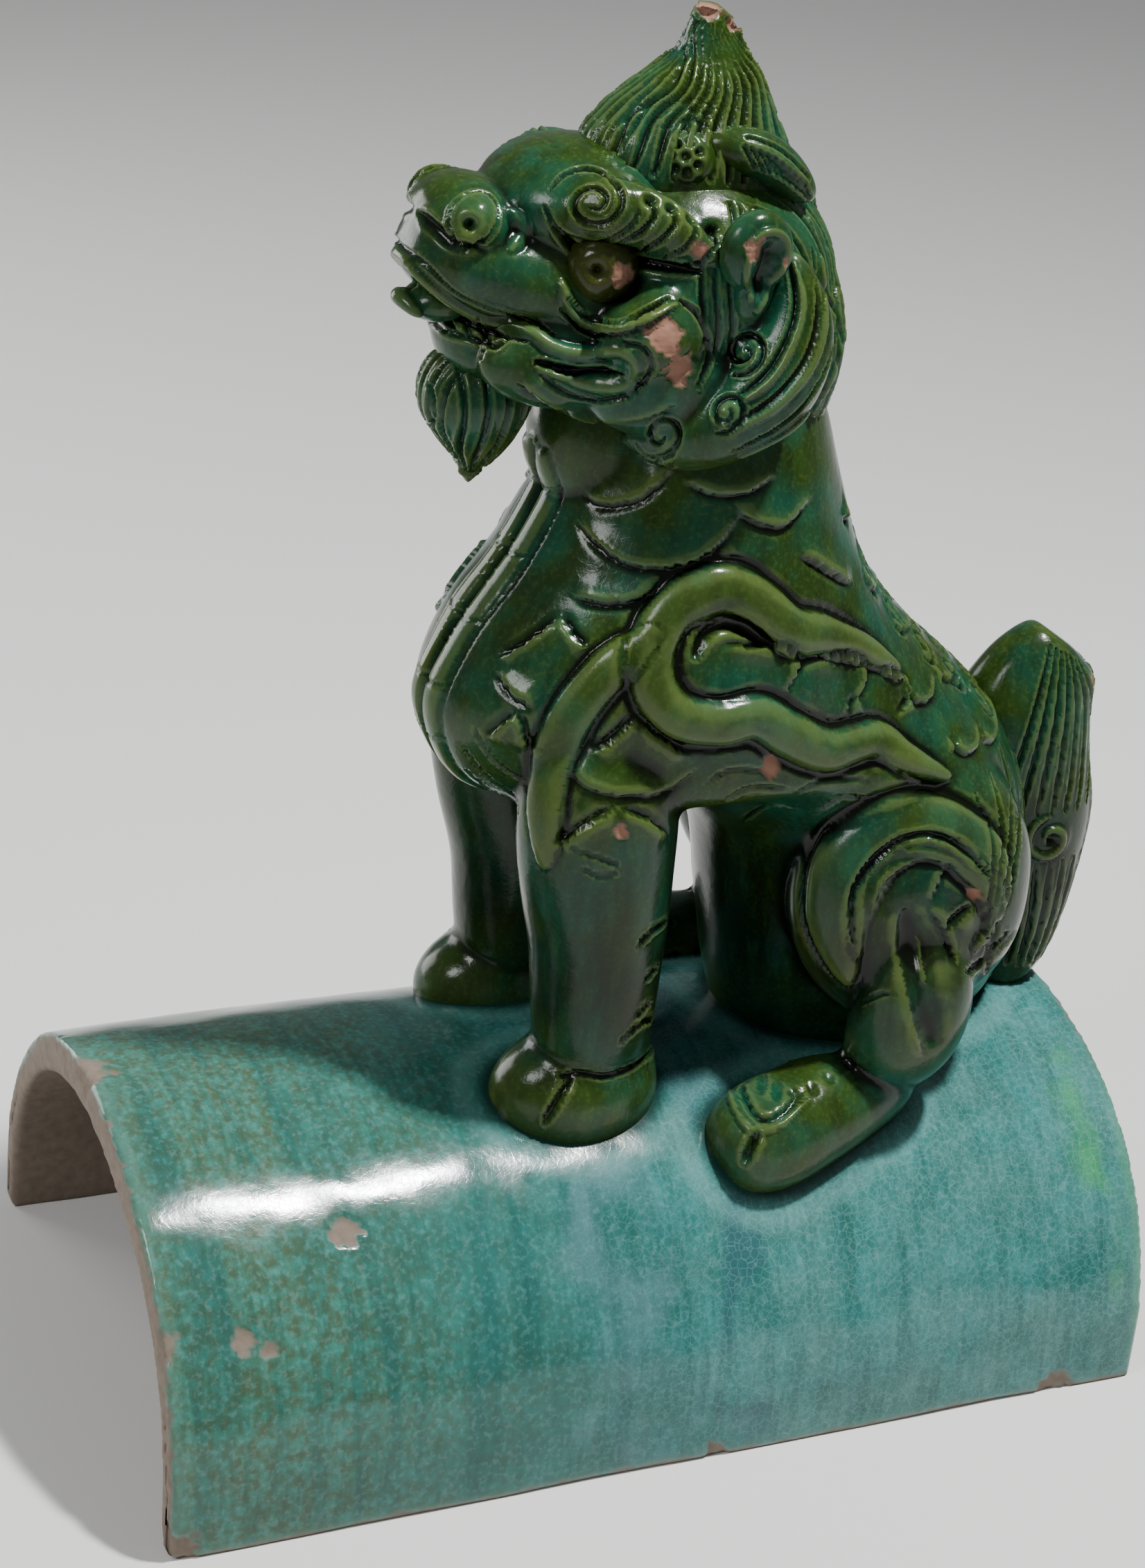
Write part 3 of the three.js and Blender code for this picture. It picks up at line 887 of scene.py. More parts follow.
    def fur(self, tools: Tooling) -> None:
        """Cuts the loose strands of belly, rump and spine.

        Args:
            tools: the tooling of the piece to mark.
        """
        draw = tools.draw
        for y, up, reach in ((4, 98, 20), (10, 92, 22), (17, 86, 18), (32, 92, 24), (40, 86, 18)):
            strand = [(y, up), (y + reach * 0.4, up + 4), (y + reach, up + 2)]
            draw(Mark.GROOVE, 48, 0.9, 1.0, *strand, taper=0.2)
        for k in range(5):
            y, up = 62 + 11 * k, 152 - 12.5 * k
            for x, turn in ((7, 1), (18, -1)):
                around = spiral((0, 0), 6.0, 1.4, -1.15, 200)
                path = [above(x + a * 0.9 * turn, y + b * 0.75, up + 60) for a, b in around]
                tools.mark(Mark.GROOVE, path, 1.0, 1.3, way=Way.TOP)
        for k in range(4):
            strand = [
                (104 - 3 * k, 104 - 7 * k), (110 - 2 * k, 84 - 6 * k), (113 - 2 * k, 58 - 5 * k),
                (110, 30 - 4 * k),
            ]
            draw(Mark.GROOVE, 40, 1.0, 1.2, *strand, taper=0.3)
        for k in range(4):
            x = 6 + 8 * k
            path = [
                above(x, 190, 92 - 3 * k), above(x + 5, 190, 62), above(x + 6, 190, 34),
                above(x + 2, 190, 8),
            ]
            tools.mark(Mark.GROOVE, path, 1.0, 1.1, way=Way.BACK, taper=0.3)

    def cut(self, body: bpy.types.Object) -> list[bpy.types.Object]:
        """Cuts the forelegs and hind legs from the torso, with their skins still meeting.

        Args:
            body: the finished clay.

        Returns:
            The torso and the four legs.
        """
        body.data.attributes.new("skin_normal", "FLOAT_VECTOR", "POINT")
        body.data.attributes["skin_normal"].data.foreach_set(
            "vector", read_normals(body).astype(np.float32).ravel()
        )
        pieces = []
        for name, side, hind in (
            ("foreleg_near", 1, False),
            ("foreleg_far", -1, False),
            ("hind_leg_near", 1, True),
            ("hind_leg_far", -1, True),
        ):
            pieces.append(self.part_off(body, name, side, hind))
        body.name = body.data.name = "lion_torso"
        pieces.insert(0, body)
        for piece in pieces:
            self.close(piece)
            dress(piece, self.finish.material())
        names = ["torso", "chest_strap", "spine_curls", "shoulder_ribbon_left", "shoulder_ribbon_right"]
        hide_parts(*names, "foreleg_ribbon_left", "foreleg_ribbon_right")
        near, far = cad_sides()
        for piece, side in zip(pieces[1:3], (near, far)):
            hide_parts(f"foreleg_{side}", f"forepaw_{side}")
        for piece, side in zip(pieces[3:], (near, far)):
            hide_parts(f"haunch_{side}", f"haunch_ring_{side}", f"shank_{side}", f"hindpaw_{side}")
        return pieces

    def part_off(self, body: bpy.types.Object, name: str, side: int, hind: bool) -> bpy.types.Object:
        """Parts one leg off the body.

        Args:
            body: what is left of the body.
            name: name of the leg.
            side: 1 for the near side, -1 for the far side.
            hind: whether it is a hind leg.

        Returns:
            The leg, still open where it was cut.
        """
        centres = np.empty(len(body.data.polygons) * 3, np.float32)
        body.data.polygons.foreach_get("center", centres)
        x, y, z = centres.reshape(-1, 3).astype(float).T / MM
        y, up = y - MIDDLE, z - CROWN
        if hind:
            middle, height, half_long, half_high = self.haunch
            top, front, back = self.hind_foot
            ring = ((y - middle) / half_long) ** 2 + ((up - height) / half_high) ** 2 < 1
            foot = (up < top) & (y > front) & (y < back)
            chosen = (x * side > self.hind_in) & (ring | foot)
        else:
            leg_back, paw_back = self.foreleg_back
            back = np.where(up < self.paw_up, paw_back, leg_back)
            chosen = (x * side > 0) & (up < self.hip) & (y < back)
        body.data.polygons.foreach_set("select", chosen)
        body.data.vertices.foreach_set("select", np.zeros(len(body.data.vertices), bool))
        body.data.edges.foreach_set("select", np.zeros(len(body.data.edges), bool))
        only(body)
        before = set(bpy.data.objects)
        bpy.ops.object.mode_set(mode="EDIT")
        bpy.ops.mesh.select_mode(type="FACE")
        bpy.ops.mesh.separate(type="SELECTED")
        bpy.ops.object.mode_set(mode="OBJECT")
        (leg,) = set(bpy.data.objects) - before
        leg.name = leg.data.name = name
        return leg

    def close(self, piece: bpy.types.Object) -> None:
        """Caps a piece inwards where it was cut, and keeps the skin's own normals.

        Args:
            piece: the torso or a leg, open where it was cut.
        """
        mesh = bmesh.new()
        mesh.from_mesh(piece.data)
        cores = [
            above(side * x, y, up)
            for side in (1, -1)
            for x, y, up in ((31, -16, self.hip), (20, 70, 46))
        ]
        apexes = [mesh.verts.new(core * MM) for core in cores]
        for edge in [edge for edge in mesh.edges if edge.is_boundary]:
            loop = edge.link_loops[0]
            start, end = loop.vert, loop.link_loop_next.vert
            apex = min(apexes, key=lambda core: (core.co - start.co).length)
            mesh.faces.new((end, start, apex))
        for apex in apexes:
            if not apex.link_faces:
                mesh.verts.remove(apex)
        mesh.to_mesh(piece.data)
        mesh.free()
        flat = np.empty(len(piece.data.vertices) * 3, np.float32)
        piece.data.attributes["skin_normal"].data.foreach_get("vector", flat)
        piece.data.normals_split_custom_set_from_vertices(flat.reshape(-1, 3).tolist())
        piece.data.attributes.remove(piece.data.attributes["skin_normal"])


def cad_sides() -> tuple[str, str]:
    """The CAD's words for the near side, towards +X, and the far side."""
    return ("left", "right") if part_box("ear_left")[0][0] > 0 else ("right", "left")


def dress(piece: bpy.types.Object, material: bpy.types.Material) -> None:
    """Gives a finished piece its material and its body, and reports it.

    Args:
        piece: the finished piece.
        material: its finish.
    """
    piece.data.materials.clear()
    piece.data.materials.append(material)
    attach(piece, "root")
    log.info("%s: %d faces, %s", piece.name, len(piece.data.polygons), material.name)


# ---------------------------------------------------------------- the head


def finished(
    piece: bpy.types.Object,
    finish: "Glaze",
    node: str,
    spots: Sequence[tuple] = (),
    depth: float = 0.8,
) -> bpy.types.Object:
    """Finishes a marked piece that stands for one CAD node.

    Args:
        piece: the marked piece.
        finish: its glaze.
        node: the CAD node that it replaces.
        spots: its chips, as rows of a place in mm and a radius.
        depth: how deep they are, in mm.

    Returns:
        The piece.
    """
    keep_relief(piece)
    if spots:
        chip(piece, spots, depth)
    dress(piece, finish.material())
    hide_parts(node)
    return piece


@dataclass
class LionHead:
    """Skull, muzzle, jaw, brows, cheeks and mane as one piece of clay, and the eyes.

    Attributes:
        finish: the glaze.
        eye_finish: the eyes' brown glaze, painted darker as the shade of the deep-set eyes under the brows.
        coarse: squares of the first skin in mm.
        fine: squares of the finished skin in mm.
    """

    finish: "Glaze"
    eye_finish: "Glaze"
    coarse: float = 1.2
    fine: float = 0.72

    def build(self) -> list[bpy.types.Object]:
        """Models, marks and dresses the head.

        Returns:
            The head, its eyes and its tongue.
        """
        head = fuse("lion_head", self.forms(), self.coarse, 5)
        apply_modifier(head, "REMESH", mode="VOXEL", voxel_size=self.fine * MM, use_smooth_shade=True)
        tools = Tooling(head)
        self.features(tools)
        tools.press(soften=1)
        self.face(tools)
        self.mane(tools)
        tools.press()
        keep_relief(head, 30, 0.8)
        chip(head, [(above(40, -18, 222), 5.5), (above(42, -13, 214), 4.8), (above(36, -9, 243), 2.4)], 0.6)
        dress(head, self.finish.material())
        near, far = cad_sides()
        both = [
            f"{part}_{side}"
            for part in ("nostril", "brow", "cheek", "mane_band")
            for side in (near, far)
        ]
        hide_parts("head", "lower_jaw", "nose", "mane_nape", *both)
        return [head, self.eye(1, near), self.eye(-1, far), self.tongue()]

    def forms(self) -> list[bpy.types.Object]:
        """The rolls and eggs of clay that the head starts as.

        Returns:
            The closed forms.
        """
        forms = [
            egg("skull_clay", above(0, 4, 227), (38, 42, 34), pitch=-0.1),
            roll(
                "muzzle_clay", [above(0, -12, 226), above(0, -46, 230), above(0, -74, 237)],
                [34, 25, 16], [22, 16, 11], blunt=3.5,
            ),
            roll(
                "jaw_clay", [above(0, -12, 196), above(0, -38, 208), above(0, -64, 214)], [31, 24, 14],
                [15, 12, 8], blunt=3,
            ),
            egg("nose_clay", above(0, -59, 243.5), (19, 13, 10.5)),
            egg("forehead_clay", above(0, -29, 247), (27, 25, 16)),
            egg("chin_clay", above(0, -46, 207), (19, 18, 10), pitch=-0.25),
            egg("poll_clay", above(0, 24, 246), (18, 15, 12)),
            roll(
                "nape_clay",
                [above(0, 26, 246), above(0, 32, 224), above(0, 34, 198), above(0, 40, 168)],
                [20, 30, 30, 18],
                [13, 15, 14, 9],
            ),
        ]
        for side in (1, -1):
            brow = [(15, -44, 247), (23, -31, 249), (30, -16, 247), (36, -3, 241)]
            band = [(34, 18, 242), (38, 20, 222), (37, 13, 204), (31, -3, 192), (20, -18, 188)]
            forms += [
                egg("nostril_clay", above(13 * side, -61, 245), (7.5, 7.5, 7.5)),
                roll(
                    "brow_clay", [above(x * side, y, up) for x, y, up in brow], [7, 10, 8, 4],
                    [5, 7, 6, 4], (0, 0.2, 1),
                ),
                egg("cheek_clay", above(29 * side, -14, 221), (11, 19, 14), yaw=0.3 * side),
                roll(
                    "mane_clay", [above(x * side, y, up) for x, y, up in band], [9, 12, 13, 12, 6],
                    [8, 10, 11, 11, 7], (0, 1, 0.3),
                ),
                egg("jowl_clay", above(19 * side, -33, 210), (11, 26, 13)),
                egg("jaw_corner_clay", above(25 * side, -9, 207), (14, 24, 17)),
            ]
        return forms

    def features(self, tools: Tooling) -> None:
        """Presses in the eye sockets and lays on lips, lids and the nose's folds.

        Args:
            tools: the tooling of the piece to mark.
        """
        draw = tools.draw
        draw(Mark.PIT, 28, 12, 4.2, (-29, 236))
        draw(
            Mark.RIDGE, 32, 2.2, 1.9, (-44, 235), (-41, 229), (-35, 224), (-27, 222.5), (-20, 224),
            (-12, 228), taper=0.4,
        )
        lip = [(-88, 242), (-82, 239), (-76, 233), (-67, 226), (-57, 221), (-46, 218), (-38, 213), (-30, 211)]
        lip += [(-20, 211.5), (-15, 208), (-16, 203), (-22, 201.5), (-30, 203), (-38, 207)]
        draw(Mark.RIDGE, 18, 2.1, 1.5, *lip, taper=0.6)
        draw(Mark.SWELL, 30, 12, 2.0, (-10, 214))
        draw(Mark.RIDGE, 16, 2.2, 1.2, (-53, 249), (-49, 244), (-52, 238), taper=0.3)
        draw(Mark.GROOVE, 10, 2.0, 1.5, (-75, 247), (-70, 243), (-64, 238.5), (-56, 237), taper=0.3)

    def face(self, tools: Tooling) -> None:
        """Cuts brows, lids, nostrils, mouth and cheeks.

        Args:
            tools: the tooling of the piece to mark.
        """
        draw = tools.draw
        brow = [
            (-46, 256), (-42, 260), (-35, 261), (-28, 257), (-26, 252), (-29, 247.5), (-35, 247.5),
            (-39, 251),
        ]
        brow += [(-38, 255), (-34, 256.5), (-30.5, 254), (-31.5, 251), (-34.5, 251.5)]
        draw(Mark.GROOVE, 24, 1.0, 1.4, *brow, taper=0.4)
        draw(
            Mark.GROOVE, 24, 1.0, 1.2, (-47, 252), (-43, 246), (-36, 243), (-28, 243), (-23, 246),
            (-21, 250), taper=0.4,
        )
        for tip, tail in (
            ((-20, 254), (-27, 243.5)),
            ((-14, 252), (-21, 241)),
            ((-8, 249), (-15, 239)),
            ((-2, 246), (-9, 237)),
        ):
            hook = [tip, (tip[0] + 1.5, tip[1] - 4), (tip[0] - 1.5, tip[1] - 8), tail]
            draw(Mark.GROOVE, 28, 1.0, 1.5, *hook, taper=0.5)
            draw(Mark.PIT, 28, 1.7, 2.6, tip)
        draw(Mark.GROOVE, 28, 1.8, 2.2, (-46, 248), (-40, 243), (-29, 240), (-15, 237), (-4, 235), taper=0.4)
        draw(Mark.GROOVE, 32, 1.0, 1.5, (-42, 231), (-37, 226), (-28, 224), (-21, 226), (-14, 230), taper=0.4)
        draw(
            Mark.GROOVE, 32, 1.0, 1.4, (-44, 228), (-36, 222), (-27, 220.5), (-18, 223), (-12, 227),
            taper=0.4,
        )
        draw(Mark.GROOVE, 34, 1.2, 1.6, (-12, 230), (-6, 225), (-2, 215), (-4, 206), taper=0.4)
        ring = spiral((-61, 246), 6.8, 6.8, 0.98, 20)
        draw(Mark.GROOVE, 13, 1.0, 1.5, *ring)
        draw(Mark.PIT, 15, 2.0, 4.2, (-63, 245))
        draw(Mark.GROOVE, 18, 0.9, 1.3, (-87, 239), (-77, 229), (-67, 223), (-57, 218), (-46, 215), taper=0.5)
        draw(
            Mark.GROOVE, 18, 0.9, 1.2, (-84, 243), (-75, 236), (-67, 229), (-57, 224), (-47, 221),
            (-38, 216), taper=0.5,
        )
        draw(Mark.GROOVE, 28, 1.5, 2.6, (-47, 213), (-37, 210), (-28, 209.5), (-23, 209), taper=0.5)
        draw(Mark.GROOVE, 26, 0.9, 1.3, (-45, 209), (-38, 204), (-29, 201), (-19, 202), taper=0.4)
        draw(Mark.GROOVE, 20, 0.9, 1.2, (-20, 214.5), (-13, 212), (-11, 206), (-15, 201), taper=0.4)
        for k in range(4):
            draw(
                Mark.GROOVE, 30, 1.0, 1.2, (1 + 3 * k, 254 - k), (3 + 3 * k, 248 - k), (2 + 3 * k, 241),
                taper=0.3,
            )
        draw(
            Mark.STEP, 28, 1.4, 1.5, (-52, 208), (-43, 202), (-33, 197.5), (-26, 196), (-16, 196.5),
            (-6, 200),
        )
        draw(
            Mark.RIDGE, 28, 0.9, 0.6, (-52, 208), (-43, 202), (-33, 197.5), (-26, 196), (-16, 196.5),
            (-6, 200), taper=0.3,
        )
        for k in range(4):
            draw(
                Mark.GROOVE, 12, 1.0, 1.6, (-72 + 5 * k, 225 - 2 * k), (-68 + 5 * k, 218 - 2 * k),
                (-60 + 4 * k, 214), taper=0.3,
            )
        for k in range(3):
            y = -8 + 4 * k
            draw(
                Mark.GROOVE, 36, 0.9, 1.0, (y, 241 - 2 * k), (y + 1, 232), (y + 3, 222), (y + 2, 214),
                taper=0.3,
            )

    def mane(self, tools: Tooling) -> None:
        """Cuts the curls and bands of hair behind the face.

        Args:
            tools: the tooling of the piece to mark.
        """
        draw = tools.draw
        for band in (
            ((17, 240), (21, 229), (20, 219), (15, 209), (7, 203)),
            ((24, 242), (28, 225), (26, 212), (18, 202), (6, 195)),
            ((30, 240), (34, 222), (31, 206), (22, 195), (8, 188)),
        ):
            draw(Mark.RIDGE, 38, 1.4, 1.1, *band, taper=0.3)
            shifted = [(y - 2.2, up + 1.4) for y, up in band]
            draw(Mark.GROOVE, 38, 1.0, 1.4, *shifted, taper=0.3)
        for centre, x, size, start in (
            ((7, 216), 36, 6.5, 250), ((5, 199), 34, 6.0, 250), ((-12, 193), 32, 7.0, 200)
        ):
            draw(Mark.GROOVE, x, 1.0, 1.4, *spiral(centre, size, 1.2, 1.4, start), taper=0.6)
            draw(Mark.SWELL, x, 3.2, 1.2, centre)
        for k in range(4):
            low = 188 - 3 * k
            draw(
                Mark.GROOVE, 30, 0.9, 1.1, (-38 + 4 * k, 200 - 2 * k), (-27 + 2 * k, low),
                (-16, low - 4), (-6, low - 1), taper=0.3,
            )
        for k in range(6):
            x = 3 + 5.5 * k
            lock = [
                above(x * 0.7, 150, 262), above(x, 150, 238), above(x * 1.1, 150, 212),
                above(x * 0.9, 150, 184), above(x * 0.6, 150, 166),
            ]
            tools.mark(Mark.GROOVE, lock, 1.1, 1.3, way=Way.BACK, taper=0.3)
        for k in range(4):
            y = 31 + 4 * k
            draw(
                Mark.GROOVE, 30, 0.9, 1.2, (y - 3, 250), (y + 2, 230), (y + 3, 210), (y + 3, 186),
                way=Way.FLANK, taper=0.3,
            )

    def eye(self, side: int, word: str) -> bpy.types.Object:
        """One eyeball with its pupil hole.

        Args:
            side: 1 for the near side, -1 for the far side.
            word: the CAD's word for that side.

        Returns:
            The eyeball.
        """
        eyeball = egg(f"eye_{word}", above(22 * side, -29, 235.5), (9.5, 9.5, 9.5))
        apply_modifier(eyeball, "REMESH", mode="VOXEL", voxel_size=0.6 * MM, use_smooth_shade=True)
        tools = Tooling(eyeball)
        tools.mark(Mark.PIT, [above(31.5 * side, -35, 237)], 2.8, 3.4, way=Way.NEAREST, both=False)
        tools.press()
        worn = [(above(34 * side, -24.5, 236), 3.2)]
        return finished(eyeball, self.eye_finish, f"eye_{word}", worn, 0.4)

    def tongue(self) -> bpy.types.Object:
        """The curled tongue at the front of the mouth.

        Returns:
            The tongue.
        """
        forms = [egg("tongue_clay", above(0, -64, 221), (9, 9, 5.5))]
        forms.append(
            roll(
                "curl_clay", [above(-8, -71, 219), above(0, -74, 222), above(8, -71, 219)], [2.4] * 3,
                [2.4] * 3, (0, 0, 1),
            ),
        )
        tongue = fuse("tongue", forms, 0.7, 3)
        tools = Tooling(tongue)
        tools.mark(Mark.GROOVE, [above(0, -72, 240), above(0, -60, 240)], 1.0, 1.2, way=Way.TOP, both=False)
        tools.press()
        return finished(tongue, self.finish, "tongue")


# ---------------------------------------------------------------- crest, horns, ears, beard and tail


@dataclass
class HeadDress:
    """What stands out from the head: flame crest, horns with their bosses, ears and beard.

    Attributes:
        finish: the glaze.
        fine: squares of the skins in mm.
    """

    finish: "Glaze"
    fine: float = 0.75

    def build(self) -> list[bpy.types.Object]:
        """Models, marks and dresses each piece.

        Returns:
            The pieces.
        """
        pieces = [self.crest(), self.beard()]
        for side, word in zip((1, -1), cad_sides()):
            pieces += [self.horn(side, word), self.boss(side, word), self.ear(side, word)]
        return pieces

    def crest(self) -> bpy.types.Object:
        """The flame-shaped crest with its combed hair and broken tip.

        Returns:
            The crest.
        """
        stations = [
            ((-28, 238), (38, 236), 23),
            ((-29, 252), (36, 248), 23),
            ((-27, 263), (31, 259), 21),
            ((-20, 271.5), (26, 268), 17.5),
            ((-12, 277.5), (21, 278), 13.5),
            ((-5, 283.5), (17, 285), 9.5),
            ((-2, 290), (13, 291), 6.5),
            ((0, 297), (8, 296.5), 4.5),
        ]
        crest = fuse("crest", [between("crest_clay", stations, 6)], self.fine, 2)
        tools = Tooling(crest)
        front = np.array([(-28, 258), (-23, 270), (-13, 277), (-6, 283.5), (-2, 290), (1, 296)])
        back = np.array([(31, 255), (26, 267), (21, 278), (16, 285), (12, 291), (7, 295)])
        for share in np.linspace(0.05, 0.95, 12):
            sway = np.array([(0, 0), (1.5, 0), (2.5, 0), (1.0, 0), (-1.0, 0), (0, 0)])
            lock = [above(14, *p) for p in front + (back - front) * share + sway]
            tools.mark(Mark.GROOVE, lock, 1.3, 1.7, way=Way.FLANK, taper=0.5)
        for k in range(7):
            x = -12 + 4 * k
            lock = [above(x, 0, 262), above(x * 0.8, 0, 272), above(x * 0.4, 0, 284), above(x * 0.15, 0, 293)]
            tools.mark(Mark.GROOVE, lock, 1.1, 1.3, way=Way.FRONT, taper=0.4, both=False)
            tools.mark(Mark.GROOVE, lock, 1.1, 1.3, way=Way.BACK, taper=0.4, both=False)
        for k in range(3):
            arc = [(-12 - k, 266 + 2.6 * k), (-6, 271 + 2.6 * k), (1 + k, 268 + 2.6 * k)]
            tools.draw(Mark.GROOVE, 15, 0.8, 1.0, *arc, taper=0.4)
        tools.press()
        broken = [(above(2, 4, 297), 4.0), (above(5, 10, 292), 2.0)]
        return finished(crest, self.finish, "crest", broken, 0.9)

    def beard(self) -> bpy.types.Object:
        """The beard, combed to a point under the chin.

        Returns:
            The beard.
        """
        spine = [above(0, -50, 210), above(0, -51.5, 197), above(0, -51, 184), above(0, -51.5, 170)]
        beard = fuse("beard", [roll("beard_clay", spine, [16, 17, 12, 3.5], [16, 16, 11, 3])], self.fine, 2)
        tools = Tooling(beard)
        for k in range(6):
            y = -66 + 6 * k
            lock = [(y, 208), (y * 0.97 - 1.5, 197), (y * 0.75 - 13, 184), (-53 + 0.4 * k, 173)]
            tools.mark(Mark.GROOVE, [above(10, *p) for p in lock], 1.1, 1.4, way=Way.FLANK, taper=0.4)
        for k in range(5):
            x = -9 + 4.5 * k
            for way in (Way.FRONT, Way.BACK):
                lock = [
                    above(x, -54, 208), above(x, -54, 195), above(x * 0.6, -54, 184),
                    above(x * 0.2, -54, 174),
                ]
                tools.mark(Mark.GROOVE, lock, 1.1, 1.3, way=way, taper=0.4, both=False)
        tools.press()
        return finished(beard, self.finish, "beard")

    def horn(self, side: int, word: str) -> bpy.types.Object:
        """One horn, laid back along the crest and hatched across.

        Args:
            side: 1 for the near side, -1 for the far side.
            word: the CAD's word for that side.

        Returns:
            The horn.
        """
        spine = [above(x * side, y, up) for x, y, up in ((14, -2, 265), (19, 14, 262), (20, 30, 251))]
        horn = fuse(f"horn_{word}", [roll("horn_clay", spine, [6.5] * 3, [6.5] * 3)], 0.7, 2)
        tools = Tooling(horn)
        line = smooth(spine, np.linspace(0.3, 0.92, 10))
        for place in line:
            cut = [place + (9 * side, -2.0, 3.2), place + (9 * side, 1.5, -3.6)]
            tools.mark(Mark.GROOVE, cut, 0.75, 1.1, way=Way.NEAREST, both=False, step=0.8)
        edge = [place + (6 * side, 0, 5.5) for place in line]
        tools.mark(Mark.GROOVE, edge, 0.7, 0.9, way=Way.NEAREST, both=False)
        tools.press()
        return finished(horn, self.finish, f"horn_{word}")

    def boss(self, side: int, word: str) -> bpy.types.Object:
        """The pricked boss at the root of one horn.

        Args:
            side: 1 for the near side, -1 for the far side.
            word: the CAD's word for that side.

        Returns:
            The boss.
        """
        centre = above(14 * side, -5, 260)
        boss = fuse(f"boss_{word}", [egg("boss_clay", centre, (8.5, 8.5, 8.5))], 0.6, 1)
        tools = Tooling(boss)
        out = unit(np.array([0.85 * side, -0.4, 0.35]))
        across = unit(np.cross(out, (0, 0, 1)))
        rise = np.cross(across, out)
        for k in range(8):
            reach = 0 if k == 7 else 4.9
            turn = 2 * math.pi * k / 7
            spot = centre + out * 9 + (across * math.cos(turn) + rise * math.sin(turn)) * reach
            tools.mark(Mark.PIT, [spot], 1.5, 2.2, way=Way.NEAREST, both=False)
        tools.press()
        return finished(boss, self.finish, f"horn_boss_{word}")

    def ear(self, side: int, word: str) -> bpy.types.Object:
        """One cupped, leaf-shaped ear with a chipped rim.

        Args:
            side: 1 for the near side, -1 for the far side.
            word: the CAD's word for that side.

        Returns:
            The ear.
        """
        forms = [
            egg("ear_clay", above(38 * side, 6, 243), (6, 10, 11)),
            egg("lobe_clay", above(37 * side, 7, 234), (5, 5.5, 10), pitch=-0.15),
        ]
        ear = fuse(f"ear_{word}", forms, 0.65, 3)
        tools = Tooling(ear)
        leaf = [(3, 232), (1, 240), (3, 248), (8, 250), (13, 247), (13, 240), (10, 233), (7, 228)]
        tools.mark(Mark.RIDGE, [above(44 * side, *p) for p in leaf], 1.4, 1.0, way=Way.NEAREST, both=False)
        cup = [above(46 * side, 8, 244), above(46 * side, 7, 234)]
        tools.mark(Mark.PIT, cup, 4.2, 4.2, way=Way.NEAREST, both=False)
        tools.press()
        worn = [(above(43 * side, 3, 245), 3.4), (above(43 * side, 13.5, 241), 2.2)]
        return finished(ear, self.finish, f"ear_{word}", worn, 0.4)


@dataclass
class Tail:
    """The upright tail, combed and curled.

    Attributes:
        finish: the glaze.
        fine: squares of the skin in mm.
    """

    finish: "Glaze"
    fine: float = 0.8

    def build(self) -> bpy.types.Object:
        """Models, marks and dresses the tail.

        Returns:
            The tail.
        """
        stations = [
            ((124, -10), (145, -10), 12),
            ((126, 6), (153, 8), 16),
            ((123, 24), (157, 24), 18),
            ((119, 41), (159.5, 40), 19),
            ((114, 57), (160.5, 56), 19),
            ((110, 74), (157, 73), 18),
            ((111, 90), (155, 88), 16),
            ((119, 105), (155, 98), 13),
            ((131, 117), (149, 105), 10),
        ]
        forms = [between("tail_clay", stations, 7)]
        forms += [egg("tail_curl_clay", above(side * 10, 139, 51), (10, 12, 14)) for side in (1, -1)]
        tail = fuse("tail", forms, self.fine, 3)
        tools = Tooling(tail)
        for share in np.linspace(0.22, 0.94, 7):
            lock = [
                (131 + 14 * share, 113 - 8 * share), (121 + 32 * share, 92), (114 + 42 * share, 72),
                (113 + 42 * share, 60),
            ]
            tools.mark(Mark.GROOVE, [above(14, *p) for p in lock], 1.1, 1.5, way=Way.FLANK, taper=0.4)
            lock = [(116 + 41 * share, 44), (122 + 33 * share, 24), (125 + 26 * share, 6)]
            tools.mark(Mark.GROOVE, [above(14, *p) for p in lock], 1.1, 1.4, way=Way.FLANK, taper=0.4)
        curl = spiral((138, 52), 8, 1.4, 1.3, 100)
        tools.mark(Mark.RIDGE, [above(20, *p) for p in curl], 1.6, 1.4, way=Way.FLANK, taper=0.4)
        tools.mark(Mark.PIT, [above(20, 138, 52)], 2.0, 2.0, way=Way.FLANK)
        for k in range(5):
            x = -10 + 5 * k
            lock = [
                above(x, 200, 14), above(x * 1.1, 200, 40), above(x * 0.8, 200, 70),
                above(x * 0.3, 200, 104),
            ]
            tools.mark(Mark.GROOVE, lock, 1.2, 1.5, way=Way.BACK, taper=0.4, both=False)
        tools.press()
        worn = [(above(6, 152, 98), 2.4), (above(8, 155, 84), 2.0)]
        return finished(tail, self.finish, "tail", worn, 0.6)


# ---------------------------------------------------------------- the ridge tile


